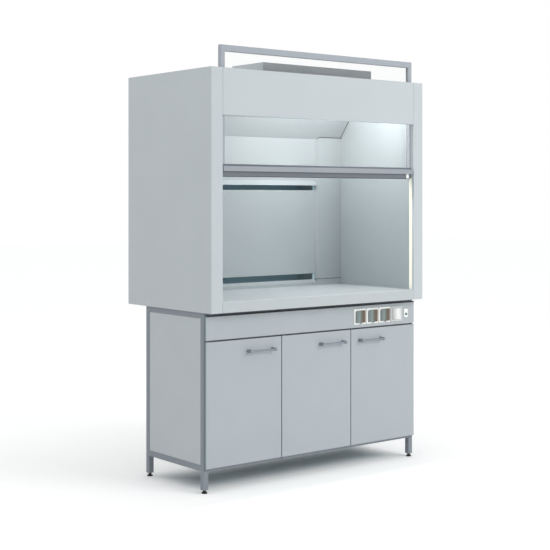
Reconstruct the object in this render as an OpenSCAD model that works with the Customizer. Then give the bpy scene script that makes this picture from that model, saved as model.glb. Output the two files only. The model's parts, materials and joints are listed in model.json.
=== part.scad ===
// Bench-height fume hood on a tube-framed cupboard base, with a counterbalanced vertical sash.
// X runs along the width, Y from the front plane to the rear, Z up; the floor is Z = 0.

/* [Hood] */
// Overall width across the cheeks
hood_w = 1500; // [1380:10:1800]
// Overall depth from the front plane to the rear panel
hood_d = 778; // [760:2:860]
// Height of the hood above the base frame
hood_h = 1240; // [1230:5:1400]
// Width of each hollow side cheek
cheek_w = 74; // [74:1:100]
// Outside radius of the cheek's folded front corner
corner_r = 8; // [4:1:14]
// Thickness of the folded steel sheet
sheet_t = 2; // [1.5:0.25:2.5]
// Depth of the folded return at each side of the opening
return_d = 16; // [14:1:20]
// Height of the fascia above the sash opening
fascia_h = 240; // [210:10:260]
// Outside radius of the other folds
fold_r = 3; // [2.5:0.5:4]
// Fold that stiffens the rear and top edges of each side liner
liner_fold = 25; // [15:1:40]
// Hairline between panels that lie flush
seam = 0.3; // [0.2:0.1:0.5]

/* [Worktop] */
// Height of the worktop's front edge
worktop_edge = 57; // [50:1:70]
// Thickness of the worktop slab
worktop_t = 24; // [18:1:30]
// Thickness of the ribs under the worktop
worktop_rib = 20; // [14:1:30]
// Radius along the worktop's front edge
worktop_r = 4; // [2:0.5:6]
// Depth of the groove in the worktop that the baffle's bottom strip stands in
strip_groove = 2; // [1:0.5:4]

/* [Sash] */
// Height of the sash over its frame
sash_h = 665; // [640:5:700]
// Height of the opening under the raised sash
opening_h = 635; // [600:5:640]
// Square section of the sash stiles
sash_tube = 25; // [22:1:30]
// Height of the sash's top rail
sash_top_h = 32; // [25:1:40]
// Wall of the sash sections
sash_wall = 2; // [1.5:0.25:2.5]
// Height of the sash's bottom rail
sash_rail_h = 61; // [50:1:70]
// Setback of the sash from the front plane
sash_setback = 18; // [17:0.5:19]
// Gap between each stile and the cheek beside it
sash_side_gap = 0.5; // [0.4:0.1:0.8]
// Thickness of the sash pane
glass_t = 6; // [5:0.5:8]
// Depth of the grooves that hold the pane
glass_groove = 8; // [6:0.5:10]
// Clearance of a pane in its groove, each side
glass_gap = 0.2; // [0.1:0.05:0.3]

/* [Sash grip] */
// Height of the grip profile
grip_h = 26; // [20:1:32]
// Height of the grip above the sash's lower edge
grip_rise = 25; // [18:1:30]
// Projection of the grip from the bottom rail
grip_d = 16; // [14:1:17]
// Thickness of the grip's web and lip
grip_t = 4; // [3:0.5:5]
// Length left clear at each end of the grip
grip_end = 6; // [4:1:20]

/* [Sash guides] */
// Width of the plastic guide in each jamb
guide_w = 22; // [20:1:24]
// Depth of the guide in the cheek
guide_d = 12; // [11:0.5:14]
// Wall of the guide
guide_wall = 2.5; // [2:0.25:3]
// Height of each sliding shoe
shoe_h = 40; // [30:1:60]
// Running gap between shoe and guide, each side
shoe_gap = 0.3; // [0.2:0.05:0.4]
// Distance of the upper shoes below the top of the guides
shoe_top = 20; // [10:1:40]
// Height of the lower shoes above the sash's lower edge
shoe_low = 22; // [10:1:40]

/* [Counterbalance] */
// Radius of the cable's path on the pulley
pulley_r = 20; // [18:0.5:21]
// Height of the pulley's flanges above the cable's path
pulley_flange = 4; // [3:0.5:5]
// Width of the pulley
pulley_w = 9; // [8:0.5:11]
// Radius of the pulley's axle
axle_r = 4; // [3:0.5:5]
// Running clearance of the pulley on its axle
axle_gap = 0.06; // [0.03:0.01:0.09]
// Radius of the cable
cable_r = 1; // [0.75:0.25:1.5]
// Distance of the cable behind the face of the jamb
cable_inset = 5; // [4.6:0.2:5.4]
// Width and depth of a counterweight
weight_w = 45; // [38:1:46]
// Length of a counterweight
weight_len = 490; // [400:10:500]
// Height of a counterweight above the floor of its cheek, with the sash raised
weight_rise = 27; // [20:1:40]
// Radius of the eye on a counterweight
eye_r = 6; // [4:0.5:8]
// Height of the eye on a counterweight
eye_h = 12; // [8:1:16]

/* [Fixed pane] */
// Distance of the fixed pane behind the sash
pane_gap = 5; // [4.5:0.5:8]
// Height of the fixed pane
pane_h = 300; // [280:10:320]
// Overlap of the fixed pane behind the fascia
pane_overlap = 9; // [5:1:20]
// Wall of the channels that hold the fixed pane
channel_wall = 2.5; // [2:0.25:3]

/* [Baffle] */
// Distance of the baffle's face in front of the hood's rear
baffle_rear = 153; // [140:1:178]
// Thickness of the baffle sheets
baffle_t = 5; // [4:0.5:6]
// Width of each side strip of the baffle
strip_w = 196; // [150:1:220]
// Width of the slanting fold along a side strip's inner edge
strip_fold = 15; // [8:1:20]
// Distance of the middle panels behind the side strips
strip_step = 15; // [10:1:20]
// Gap between the side strips and the sloping top
strip_gap = 3.5; // [0.5:0.5:5]
// Gap between the side strips and the middle panels
panel_gap = 1; // [0.5:0.5:3]
// Gap between the sloping top and the side liners
slope_gap = 3; // [1:0.5:5]
// Height of the bottom strip's upright part
bottom_h = 18; // [14:1:24]
// Height of the lower slot's sill above the worktop
sill_h = 35; // [30:1:40]
// Height of the lower slot
low_slot = 35; // [25:1:45]
// Height of the middle panel
middle_h = 500; // [450:5:520]
// Height of the upper slot
top_slot = 29; // [20:1:34]
// Depth of the lip bent forward over the upper slot
lip_d = 20; // [14:1:28]
// Height of the lip
lip_h = 28; // [20:1:34]
// Height of the upper panel above its lip
upper_h = 250; // [230:5:280]
// Gap at the joints beside the middle panels
baffle_gap = 3; // [2:0.5:5]
// Angle of the sloping top of the baffle
slope_angle = 53; // [50:1:60]
// Width of the posts behind the baffle
post_w = 30; // [24:1:36]

/* [Roof] */
// Width of the lamp box
lamp_w = 768; // [720:4:800]
// Depth of the lamp box
lamp_d = 270; // [240:5:300]
// Height of the lamp box
lamp_h = 49; // [45:1:60]
// Distance of the lamp opening in from the edges of the lamp box
lamp_rim = 40; // [30:1:50]
// Lap of the lamp window over the rim of its opening
window_lap = 15; // [8:1:20]
// Length of the lamp tube
tube_len = 590; // [560:5:620]
// Radius of the lamp tube
tube_r = 13; // [8:0.5:13]
// Thickness of the glass window under the lamp
window_t = 5; // [4:0.5:6]
// Radius of the exhaust collar
collar_r = 125; // [100:1:130]
// Height of the exhaust collar
collar_h = 60; // [40:1:80]
// Width of the exhaust collar's flange
collar_flange = 18; // [12:1:20]
// Distance of the exhaust collar's axis from the rear
collar_rear = 178; // [160:1:190]

/* [Base frame] */
// Height of the base frame
base_h = 916; // [880:2:940]
// Distance of the base frame in from each side of the hood
base_inset = 10; // [4:1:20]
// Distance of the base frame behind the front plane
base_setback = 77; // [76:1:90]
// Depth of the base frame
base_d = 536; // [500:2:560]
// Outside width of the square tube
tube = 30; // [28:1:32]
// Wall of the square tube
tube_wall = 2; // [1.5:0.25:3]
// Outside radius of the square tube's corners
tube_corner = 2.5; // [2:0.5:4]
// Height of the lower rails
low_rail_z = 111; // [90:1:112]
// Height of the gap under each leg, which the foot fills
foot_h = 18; // [16:1:24]
// Radius of a foot's pad
foot_r = 15; // [12:0.5:18]
// Radius of a foot's stem
stem_r = 5; // [4:0.5:6]
// Length of a foot's stem inside the leg
stem_len = 42; // [30:1:60]

/* [Cupboard] */
// Thickness of the cupboard boards
board_t = 18; // [15:1:19]
// Thickness of the cupboard back
back_t = 8; // [6:1:12]
// Distance of the side panels in from the faces of the side frames
panel_inset = 3; // [2:0.5:5]
// Clearance around boards that are let in
board_gap = 0.3; // [0.2:0.1:0.5]
// Thickness of the apron, and of a door with the gap behind it
front_t = 16; // [15.5:0.5:18]
// Gap behind the closed doors
door_back_gap = 1; // [0.9:0.1:1.5]
// Distance of the fronts in from each side of the base frame
front_inset = 3.5; // [2:0.5:6]
// Gap between two doors
door_gap = 4; // [3.5:0.5:5]
// Overlap of the doors over the lower rail
door_lap = 14.5; // [13:0.5:18]
// Gap between the doors and the apron
apron_gap = 8; // [7:0.5:10]
// Height of the apron
apron_h = 126; // [120:1:130]
// Gap between the apron and the underside of the hood
apron_drop = 15; // [12:1:20]
// Rounding of the upright edges of the doors
door_r = 1.5; // [1:0.25:2]
// Distance of the door pivots in from the hinged edge
pivot_in = 4; // [3.5:0.25:4]
// Distance of the door pivots behind the door's face
pivot_d = 6; // [5.5:0.25:6.5]
// Radius of the door pivots
pivot_r = 2; // [1.5:0.25:2]
// Running clearance of the door pivots
pivot_gap = 0.06; // [0.03:0.01:0.09]
// Length of the door pivots inside the door
pivot_len = 10; // [8:1:16]
// Thickness of the pivot brackets
bracket_t = 2; // [1.5:0.25:2.5]
// Width of the pivot brackets
bracket_w = 24; // [18:1:30]

/* [Door handles] */
// Distance between the posts of a handle
handle_cc = 160; // [128:1:192]
// Projection of a handle's posts from the door
handle_d = 36; // [30:1:44]
// Radius of the handle's rod
rod_r = 5.25; // [4:0.25:5.5]
// Radius of the handle's end posts
post_r = 9; // [6:0.25:10]
// Rounding of the posts' ends
post_edge = 2; // [1:0.25:3]
// Distance of the rod's axis behind the front of the posts
rod_in = 8; // [7:0.5:12]
// Height of the handles' axis below the top of the doors
handle_drop = 62.5; // [40:0.5:90]
// Distance of each handle's nearer post in from the opening edge of its door
handle_in = 62; // [40:1:80]

/* [Switches] */
// Side of a socket or switch frame
switch_w = 85; // [80:1:88]
// Distance between neighbouring frames
switch_pitch = 94; // [90:0.5:100]
// Height of the switches above the apron's lower edge
switch_rise = 61; // [59:1:63]
// Thickness of a socket frame
switch_t = 6; // [5:0.5:8]
// Side of the window in a socket frame
window_w = 66; // [62:1:68]
// Radius of a socket's body behind the apron
socket_r = 28; // [25:0.5:29]
// Radius of a socket's well
well_r = 19.5; // [18:0.5:21]
// Depth of a socket's well
well_d = 15; // [12:1:18]
// Radius of a contact hole
contact_r = 2.6; // [2:0.1:3]
// Distance between the contact holes
contact_cc = 19; // [16:0.5:20]
// Side of a socket's lid
lid_w = 68; // [66:1:72]
// Thickness of a socket's lid
lid_d = 7; // [6.5:0.25:8]
// Wall of a socket's lid
lid_wall = 2; // [1.5:0.25:2.5]
// Radius of the lid's hinge barrel
barrel_r = 3; // [2.75:0.25:3.25]
// Radius of the lid's hinge pins
pin_r = 1.2; // [1:0.1:1.5]
// Width of the tab on a lid
tab_w = 16; // [12:1:20]
// Length of the tab on a lid
tab_len = 5; // [4:0.5:6]
// Width of the ring round the rocker
ring_w = 10; // [8:0.5:14]
// Distance of the rocker's pivot behind the face of its ring
rocker_in = 2.5; // [2:0.25:3]
// Height of the rocker's bowed crest
rocker_bow = 3; // [2:0.25:4]
// Thickness of the rocker from its pivot to its crest
rocker_d = 11; // [9:0.5:12]
// Angle of the rocker to each side
rocker_angle = 3; // [2:0.5:3.5]
// Width of the button's plate
button_plate_w = 26; // [24:1:30]
// Height of the button's plate
button_plate_h = 47; // [42:1:52]
// Thickness of the button's plate
button_plate_t = 4; // [3:0.25:5]
// Wall of the sleeve that the button runs in
sleeve_wall = 2; // [1.5:0.25:3]
// Distance of the button's plate from the last switch
button_pitch = 76.5; // [70:0.5:84]
// Distance of the button's plate in from the end of the apron
button_in = 67; // [40:1:90]
// Distance of the button below the centre of its plate
button_drop = 6; // [0:0.5:10]
// Radius of the button
button_r = 7; // [5:0.25:8]
// Travel of the button
button_travel = 2; // [1.5:0.25:3]
// Projection of the button from its plate
button_out = 4; // [3.5:0.25:6]

/* [Hidden] */
$fn = 48;
eps = 0.01;  // overlap of a cut past the face it opens
over = 50;  // how far a through cut runs past its solid

open_x = hood_w / 2 - cheek_w;  // half the width of the opening
hood_top = base_h + hood_h;
worktop_z = base_h + worktop_edge;
fascia_z = hood_top - fascia_h;
rear_d = hood_d - sheet_t;  // inner face of the rear panel
baffle_d = hood_d - baffle_rear;

sash_z = worktop_z + opening_h;  // lower edge of the raised sash
sash_x = open_x - sash_side_gap;
sash_back = sash_setback + sash_tube;
glass_d = sash_setback + (sash_tube - glass_t) / 2;
glass_x = sash_x - sash_tube + glass_groove;

guide_mid = return_d + guide_w / 2;
pulley_out = pulley_r + pulley_flange;
pulley_x = open_x + cable_inset + pulley_r;
yoke_t = sheet_t;
yoke_gap = 1;  // side play of the pulley in its yoke
yoke_half = 10;  // half the width of a yoke's arms
yoke_tail = 8;  // how far the arms reach below the axle
pulley_top_gap = 2;  // between the pulley and the web of its yoke
pulley_z = hood_top - sheet_t - yoke_t - pulley_top_gap - pulley_out;
guide_top_gap = 6;  // between a guide and the pulley over it
guide_top = pulley_z - pulley_out - guide_top_gap;
shoe_w = guide_w - 2 * guide_wall - 2 * shoe_gap;
weight_z = base_h + sheet_t + weight_rise;
weight_x = open_x + cable_inset + 2 * pulley_r;

pane_d = sash_back + pane_gap;
pane_z = fascia_z + pane_overlap - pane_h;
channel_w = glass_t + 2 * glass_gap + 2 * channel_wall;
channel_d = pane_d - glass_gap - channel_wall;
channel_depth = 12;  // how far the channels stand off the liners
fold_gap = 4;  // between the sash or a channel and the folds near it

roof_front = sash_back + fold_gap;
roof_fold = 20;  // height of the stiffening fold behind the sash slot
lamp_mid = roof_front + lamp_d / 2;
holder_l = 20;  // length of a lamp holder
window_half = tube_len / 2 + holder_l + 10;  // half the length of the lamp opening
tube_gap = 4;  // over the tube, and under its holders
centre_x = open_x - strip_w;  // half the width of the middle panels
low_slot_z = worktop_z + sill_h;
middle_z = low_slot_z + low_slot;
lip_z = middle_z + middle_h + top_slot;
upper_z = lip_z + lip_h;
slope_z = upper_z + upper_h;
panel_d = baffle_d + strip_step;  // front face of the middle panels
slope_run = (hood_top - 2 * sheet_t - slope_z) / tan(slope_angle);
collar_d = hood_d - collar_rear;
collar_wall = sheet_t;

base_x = hood_w / 2 - base_inset;
base_back = base_setback + base_d;
rail_z = base_h - tube;  // underside of the top rails
apron_z = base_h - apron_drop - apron_h;
door_z = low_rail_z + tube - door_lap;
door_h = apron_z - apron_gap - door_z;
mid_rail_z = apron_z - (apron_gap + tube) / 2;  // rail behind the gap over the doors
bay_x = base_x - tube;  // half the width between the side frames
front_d = base_setback - front_t;
door_d = front_d;
door_t = front_t - door_back_gap;
front_x = base_x - front_inset;
door_w = (2 * front_x - 2 * door_gap) / 3;
divider_x = door_w / 2 + door_gap / 2;
floor_z = low_rail_z + tube;
board_x = bay_x - board_gap;
back_d = base_back - tube - back_t;
plug_t = 4;  // plug welded in the bottom of each leg
bore_corner = 1;  // inside radius of the square tube's corners
hinge_x = [-front_x + pivot_in, -door_w / 2 + pivot_in, front_x - pivot_in];

button_x = front_x - button_in;
rocker_x = button_x - button_pitch;
socket_x = [for (i = [3:-1:1]) rocker_x - i * switch_pitch];
switch_z = apron_z + switch_rise;
frame_d = front_d - switch_t;  // front face of the socket frames
hinge_d = frame_d - board_gap - barrel_r;
hinge_z = switch_z + lid_w / 2 - barrel_r;
insert_gap = 0.3;
frame_corner = 3;  // radius of a switch frame's corners
pin_len = 3;  // how far a lid's hinge pin reaches into it
rocker_bore = 2.5;  // depth of the holes that the rocker's pivot turns in
ear_t = 2.2;  // thickness of the ears that carry the pins
body_back = front_d + front_t + socket_r;  // rear of the socket bodies
button_z = switch_z - button_drop;

// Places a piece whose depth is measured from the front plane
module from_front() {
    translate([0, -hood_d / 2, 0]) children();
}

// Puts a piece of the right side on the side given by its sign
module on_side(s) {
    if (s < 0) mirror([1, 0, 0]) children();
    else children();
}

module box(low, high) {
    translate(low) cube(high - low);
}

// Bar along X from -half to half, with its outline drawn as [depth, height]
module bar_x(half) {
    translate([-half, 0, 0]) rotate([90, 0, 90]) linear_extrude(2 * half) children();
}

// Square with all four corners rounded, centred
module round_square(w, h, r) {
    square([w - 2 * r, h], center = true);
    square([w, h - 2 * r], center = true);
    for (x = [-1, 1], y = [-1, 1]) translate([x * (w / 2 - r), y * (h / 2 - r)]) circle(r);
}

// Outline from the origin with a radius for each corner, anticlockwise from the origin's
module rounded_plan(w, d, r) {
    polygon([[r[0], 0], [w - r[1], 0], [w, r[1]], [w, d - r[2]],
        [w - r[2], d], [r[3], d], [0, d - r[3]], [0, r[0]]]);
    for (c = [[r[0], r[0], r[0]], [w - r[1], r[1], r[1]], [w - r[2], d - r[2], r[2]], [r[3], d - r[3], r[3]]])
        if (c[2] > 0) translate([c[0], c[1]]) circle(c[2]);
}

// Plate on the apron: outline in X and Z, from one depth to another
module plate(x, z, near, far) {
    translate([x, far, z]) rotate([90, 0, 0]) linear_extrude(far - near) children();
}

module rod_x(x0, x1, d, z, r) {
    translate([x0, d, z]) rotate([0, 90, 0]) cylinder(h = x1 - x0, r = r);
}

module rod_y(x, z, near, far, r) {
    translate([x, near, z]) rotate([-90, 0, 0]) cylinder(h = far - near, r = r);
}

// Base

module tube_outline() {
    round_square(tube, tube, tube_corner);
}

module bore_outline() {
    side = tube - 2 * tube_wall;
    round_square(side, side, bore_corner);
}

// Upright tube with its axis on a leg's, from one height to another
module upright(d, low, high) {
    translate([base_x - tube / 2, d + tube / 2, low]) linear_extrude(high - low) children();
}

// Tube along the depth, with its underside at the given height
module rail_y(near, far, z) {
    translate([base_x - tube / 2, far, z + tube / 2]) rotate([90, 0, 0])
        linear_extrude(far - near) children();
}

// Welded frame of square tube: two legs, a top rail and a lower rail, hollow right through
module side_frame(s) {
    legs = [base_setback, base_back - tube];
    near = base_setback + tube;
    far = base_back - tube;
    from_front() on_side(s) difference() {
        union() {
            for (d = legs) upright(d, foot_h, base_h) tube_outline();
            for (z = [low_rail_z, rail_z]) rail_y(near - tube_corner, far + tube_corner, z) tube_outline();
        }
        for (d = legs) {
            upright(d, foot_h + plug_t, base_h - tube_wall) bore_outline();
            upright(d, foot_h - eps, foot_h + plug_t + eps) circle(stem_r + pivot_gap);
        }
        for (z = [low_rail_z, rail_z]) rail_y(near - tube / 2, far + tube / 2, z) bore_outline();
    }
}

module side_frame_left() {
    color("#8A929B") side_frame(-1);
}

module side_frame_right() {
    color("#8A929B") side_frame(1);
}

module tube_x(d, z) {
    difference() {
        bar_x(bay_x) translate([d + tube / 2, z + tube / 2]) tube_outline();
        bar_x(bay_x + over) translate([d + tube / 2, z + tube / 2]) bore_outline();
    }
}

module cross_rails() {
    color("#8A929B") from_front() {
        for (z = [low_rail_z, mid_rail_z, rail_z]) tube_x(base_setback, z);
        for (z = [low_rail_z, rail_z]) tube_x(base_back - tube, z);
    }
}

// Pad, neck, lock nut under the leg and a stem that runs up into it
module levelling_foot() {
    nut_h = 6;
    pad_h = 7;
    neck_r = stem_r + 3;
    nut_r = stem_r * 1.9;
    cylinder(h = pad_h, r = foot_r);
    translate([0, 0, pad_h - eps]) cylinder(h = foot_h - nut_h - pad_h + eps, r = neck_r);
    translate([0, 0, foot_h - nut_h - eps]) cylinder(h = nut_h + eps, r = nut_r, $fn = 6);
    cylinder(h = foot_h + stem_len, r = stem_r);
}

module levelling_feet() {
    color("#202326") from_front()
        for (s = [-1, 1], d = [base_setback + tube / 2, base_back - tube / 2])
            translate([s * (base_x - tube / 2), d, 0]) levelling_foot();
}

module side_panel(s) {
    from_front() on_side(s)
        box([base_x - panel_inset - board_t, base_setback + tube + board_gap, floor_z],
            [base_x - panel_inset, base_back - tube - board_gap, rail_z - board_gap]);
}

module side_panel_left() {
    color("#A9B2B5") side_panel(-1);
}

module side_panel_right() {
    color("#A9B2B5") side_panel(1);
}

module cabinet_floor() {
    color("#C9CDCE") from_front()
        box([-board_x, base_setback, floor_z], [board_x, base_back, floor_z + board_t]);
}

module cabinet_top() {
    z = mid_rail_z + tube;
    color("#C9CDCE") from_front()
        box([-board_x, base_setback, z], [board_x, back_d - board_gap, z + board_t]);
}

module cabinet_back() {
    half = base_x - panel_inset - board_t - board_gap;
    color("#BFC4C6") from_front() box([-half, back_d, floor_z + board_t], [half, back_d + back_t, rail_z]);
}

// Upright boards between the bays, notched round the rail above the doors
module cabinet_dividers() {
    color("#C9CDCE") from_front() for (s = [-1, 1]) difference() {
        box([s * divider_x - board_t / 2, base_setback, floor_z + board_t],
            [s * divider_x + board_t / 2, back_d - board_gap, mid_rail_z + tube]);
        box([s * divider_x - board_t, base_setback - over, mid_rail_z - board_gap],
            [s * divider_x + board_t, base_setback + tube + board_gap, mid_rail_z + tube + over]);
    }
}

module apron() {
    color("#ADB6BB") from_front() difference() {
        box([-front_x, front_d, apron_z], [front_x, front_d + front_t, apron_z + apron_h]);
        for (x = concat(socket_x, [rocker_x]))
            rod_y(x, switch_z, front_d - over, front_d + over, socket_r + insert_gap);
        rod_y(button_x, button_z, front_d - over, front_d + over, button_r + sleeve_wall + insert_gap);
    }
}

// Doors

// Board with rounded upright edges and a pivot hole in its top and bottom edge
module door(mid, pivot_x) {
    hole_l = pivot_len + 1;
    from_front() difference() {
        translate([mid, door_d + door_t / 2, door_z]) linear_extrude(door_h)
            round_square(door_w, door_t, door_r);
        for (z = [door_z - over, door_z + door_h - hole_l])
            translate([pivot_x, door_d + pivot_d, z]) cylinder(h = over + hole_l, r = pivot_r + pivot_gap);
    }
}

module door_left() {
    color("#B1BBC1") door(-door_w - door_gap, hinge_x[0]);
}

module door_middle() {
    color("#B1BBC1") door(0, hinge_x[1]);
}

module door_right() {
    color("#B1BBC1") door(door_w + door_gap, hinge_x[2]);
}

// Bar handle: two thick round posts with a thinner rod between them
module handle(mid) {
    z = door_z + door_h - handle_drop;
    d = door_d - handle_d;
    from_front() {
        for (s = [-1, 1]) translate([mid + s * handle_cc / 2, door_d, z]) rotate([90, 0, 0]) handle_post();
        rod_x(mid - handle_cc / 2, mid + handle_cc / 2, d + rod_in, z, rod_r);
    }
}

module handle_post() {
    rotate_extrude() {
        square([post_r, handle_d - post_edge]);
        square([post_r - post_edge, handle_d]);
        intersection() {
            translate([post_r - post_edge, handle_d - post_edge]) circle(post_edge);
            square([post_r, handle_d]);
        }
    }
}

module handle_left() {
    color("#8C9299") handle(-divider_x - door_gap / 2 - handle_in - handle_cc / 2);
}

module handle_middle() {
    color("#8C9299") handle(divider_x - door_gap / 2 - handle_in - handle_cc / 2);
}

module handle_right() {
    color("#8C9299") handle(divider_x + door_gap / 2 + handle_in + handle_cc / 2);
}

// Angle bracket on a rail's face with the pivot pin that a door turns on; up is 1 under a door and -1 over it
module door_pivot(x, inward, z, up) {
    edge = pivot_r + 1;  // from the pin's axis to the nearer end of the bracket
    near = door_d + pivot_d - edge;
    low = up > 0 ? z - bracket_t : z;
    tab_low = up > 0 ? low_rail_z + tube_corner : z;
    tab_high = up > 0 ? z : apron_z - board_gap;
    x0 = inward > 0 ? x - edge : x + edge - bracket_w;
    box([x0, near, low], [x0 + bracket_w, base_setback, low + bracket_t]);
    box([x0, base_setback - bracket_t, tab_low], [x0 + bracket_w, base_setback, tab_high]);
    translate([x, door_d + pivot_d, up > 0 ? low : z - pivot_len - board_gap])
        cylinder(h = pivot_len + bracket_t, r = pivot_r);
}

module door_pivots() {
    color("#7B8288") from_front() for (i = [0:2]) {
        door_pivot(hinge_x[i], i < 2 ? 1 : -1, door_z - board_gap, 1);
        door_pivot(hinge_x[i], i < 2 ? 1 : -1, door_z + door_h + board_gap, -1);
    }
}

// Sockets and switches

// Square frame with a window, and an ear with a pin at each end of the lid's hinge
module socket_frame(x) {
    ear_x = lid_w / 2 + insert_gap;
    from_front() {
        difference() {
            plate(x, switch_z, frame_d, front_d) round_square(switch_w, switch_w, frame_corner);
            plate(x, switch_z, frame_d - over, front_d + over) square(window_w, center = true);
        }
        for (s = [-1, 1]) translate([x, 0, 0]) on_side(s) {
            rod_x(ear_x, ear_x + ear_t, hinge_d, hinge_z, barrel_r);
            box([ear_x, hinge_d, hinge_z - barrel_r], [ear_x + ear_t, frame_d + eps, hinge_z + barrel_r]);
            rod_x(ear_x - pin_len, ear_x + eps, hinge_d, hinge_z, pin_r);
        }
    }
}

module socket_frame_left() {
    color("#F7F7F1") socket_frame(socket_x[0]);
}

module socket_frame_middle() {
    color("#F7F7F1") socket_frame(socket_x[1]);
}

module socket_frame_right() {
    color("#F7F7F1") socket_frame(socket_x[2]);
}

// Dished lid hung from a hinge barrel along its top edge, with a tab to lift it by
module socket_lid(x) {
    back = frame_d - board_gap;
    low = switch_z - lid_w / 2;
    from_front() difference() {
        union() {
            box([x - lid_w / 2, back - lid_d, low], [x + lid_w / 2, back, hinge_z]);
            rod_x(x - lid_w / 2, x + lid_w / 2, hinge_d, hinge_z, barrel_r);
            rod_x(x - lid_w / 2, x + lid_w / 2, back - lid_d + barrel_r, hinge_z, barrel_r);
            plate(x, low, back - lid_d, back - lid_d + lid_wall) lid_tab();
        }
        box([x - lid_w / 2 + lid_wall, back - lid_d + lid_wall, low + lid_wall],
            [x + lid_w / 2 - lid_wall, back + over, hinge_z - barrel_r - 1]);
        for (s = [-1, 1]) translate([x, 0, 0]) on_side(s)
            rod_x(lid_w / 2 - pin_len, lid_w / 2 + over, hinge_d, hinge_z, pin_r + pivot_gap);
    }
}

// Tab with rounded lower corners, drawn from the lid's lower edge
module lid_tab() {
    tab_r = tab_len / 2;
    translate([-tab_w / 2, -tab_len]) rounded_plan(tab_w, tab_len + tab_r, [tab_r, tab_r, 0, 0]);
}

module socket_lid_left() {
    color("#7A7A74") socket_lid(socket_x[0]);
}

module socket_lid_middle() {
    color("#7A7A74") socket_lid(socket_x[1]);
}

module socket_lid_right() {
    color("#7A7A74") socket_lid(socket_x[2]);
}

// Face plate in the frame's window, and a round body through the apron with the well for a plug
module socket_inserts() {
    face_d = frame_d + 2;
    color("#EFEFEA") from_front() for (x = socket_x) difference() {
        union() {
            plate(x, switch_z, face_d, front_d) square(window_w - 2 * insert_gap, center = true);
            rod_y(x, switch_z, front_d - eps, body_back, socket_r);
        }
        rod_y(x, switch_z, face_d - over, face_d + well_d, well_r);
        for (s = [-1, 1]) rod_y(x + s * contact_cc / 2, switch_z, face_d, face_d + 2 * well_d, contact_r);
    }
}

// Ring round the rocker, closed behind, with a bore in each side for the rocker's pivot
module light_switch_frame() {
    window = switch_w - 2 * ring_w;
    floor_t = 1;
    color("#E4E6E6") from_front() {
        difference() {
            plate(rocker_x, switch_z, frame_d, front_d) round_square(switch_w, switch_w, frame_corner);
            plate(rocker_x, switch_z, frame_d - over, front_d - floor_t) square(window, center = true);
            for (s = [-1, 1]) translate([rocker_x, 0, 0]) on_side(s)
                rod_x(window / 2 - over, window / 2 + rocker_bore, frame_d + rocker_in, switch_z,
                    pin_r + pivot_gap);
        }
        rod_y(rocker_x, switch_z, front_d - eps, body_back, socket_r);
    }
}

// Wide bowed rocker on a pivot pin that reaches into the ring at each side
module light_rocker() {
    side_gap = 1;
    half = switch_w / 2 - ring_w - side_gap;
    crown_r = (half * half + rocker_bow * rocker_bow) / (2 * rocker_bow);
    under = 1;  // between the rocker's flat back and its pivot
    pin_half = half + side_gap + rocker_bore - 1;
    web = pin_r + 0.5;
    color("#DCDEDF") from_front()
        translate([rocker_x, frame_d + rocker_in, switch_z]) rotate([-rocker_angle, 0, 0]) {
            intersection() {
                translate([-half, -rocker_d, -half]) cube([2 * half, rocker_d - under, 2 * half]);
                translate([0, crown_r - rocker_d, -half - over])
                    cylinder(h = 2 * half + 2 * over, r = crown_r, $fn = 96);
            }
            translate([-half, -under - 1, -web]) cube([2 * half, under + 1, 2 * web]);
            rod_x(-pin_half, pin_half, 0, 0, pin_r);
        }
}

// Small plate with a sleeve behind it that the button runs in
module button_plate() {
    plate_r = 4;
    rear_wall = 2;
    color("#F4F4EE") from_front() difference() {
        union() {
            plate(button_x, switch_z, front_d - button_plate_t, front_d)
                round_square(button_plate_w, button_plate_h, plate_r);
            rod_y(button_x, button_z, front_d - eps, front_d + front_t, button_r + sleeve_wall);
        }
        rod_y(button_x, button_z, front_d - over, front_d + front_t - rear_wall, button_r + pivot_gap);
    }
}

module fan_button() {
    face = front_d - button_plate_t - button_out;
    rear_play = 3;  // left behind the button at rest
    color("#1E8585") from_front()
        rod_y(button_x, button_z, face, front_d + front_t - button_travel - rear_play, button_r);
}

// Hood

// Folded sheet: return, front, rounded corner, outer side and rear in one, with a floor and a top
module cheek(s) {
    radii = [fold_r, corner_r, fold_r, 0];
    inner = [for (r = radii) max(r - sheet_t, 0)];
    from_front() on_side(s) translate([open_x, 0, base_h]) difference() {
        linear_extrude(hood_h) rounded_plan(cheek_w, hood_d, radii);
        translate([sheet_t, sheet_t, sheet_t]) linear_extrude(hood_h - 2 * sheet_t)
            rounded_plan(cheek_w - 2 * sheet_t, hood_d - 2 * sheet_t, inner);
        translate([-over, return_d, sheet_t])
            cube([over + 2 * sheet_t, rear_d - return_d, hood_h - 2 * sheet_t]);
    }
}

module cheek_left() {
    color("#AEB8BC") cheek(-1);
}

module cheek_right() {
    color("#AEB8BC") cheek(1);
}

// Inner wall of the chamber, folded in at the rear and under the roof
module liner(s) {
    near = return_d + guide_w;
    low = base_h + sheet_t;
    high = hood_top - sheet_t;
    from_front() on_side(s) {
        box([open_x, near, low], [open_x + sheet_t, rear_d, high]);
        box([open_x - liner_fold, rear_d - sheet_t, worktop_z], [open_x + eps, rear_d, high]);
        box([open_x - liner_fold, channel_d + channel_w + fold_gap, high - sheet_t],
            [open_x + eps, rear_d, high]);
    }
}

module liner_left() {
    color("#D5DEDF") liner(-1);
}

module liner_right() {
    color("#D5DEDF") liner(1);
}

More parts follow.
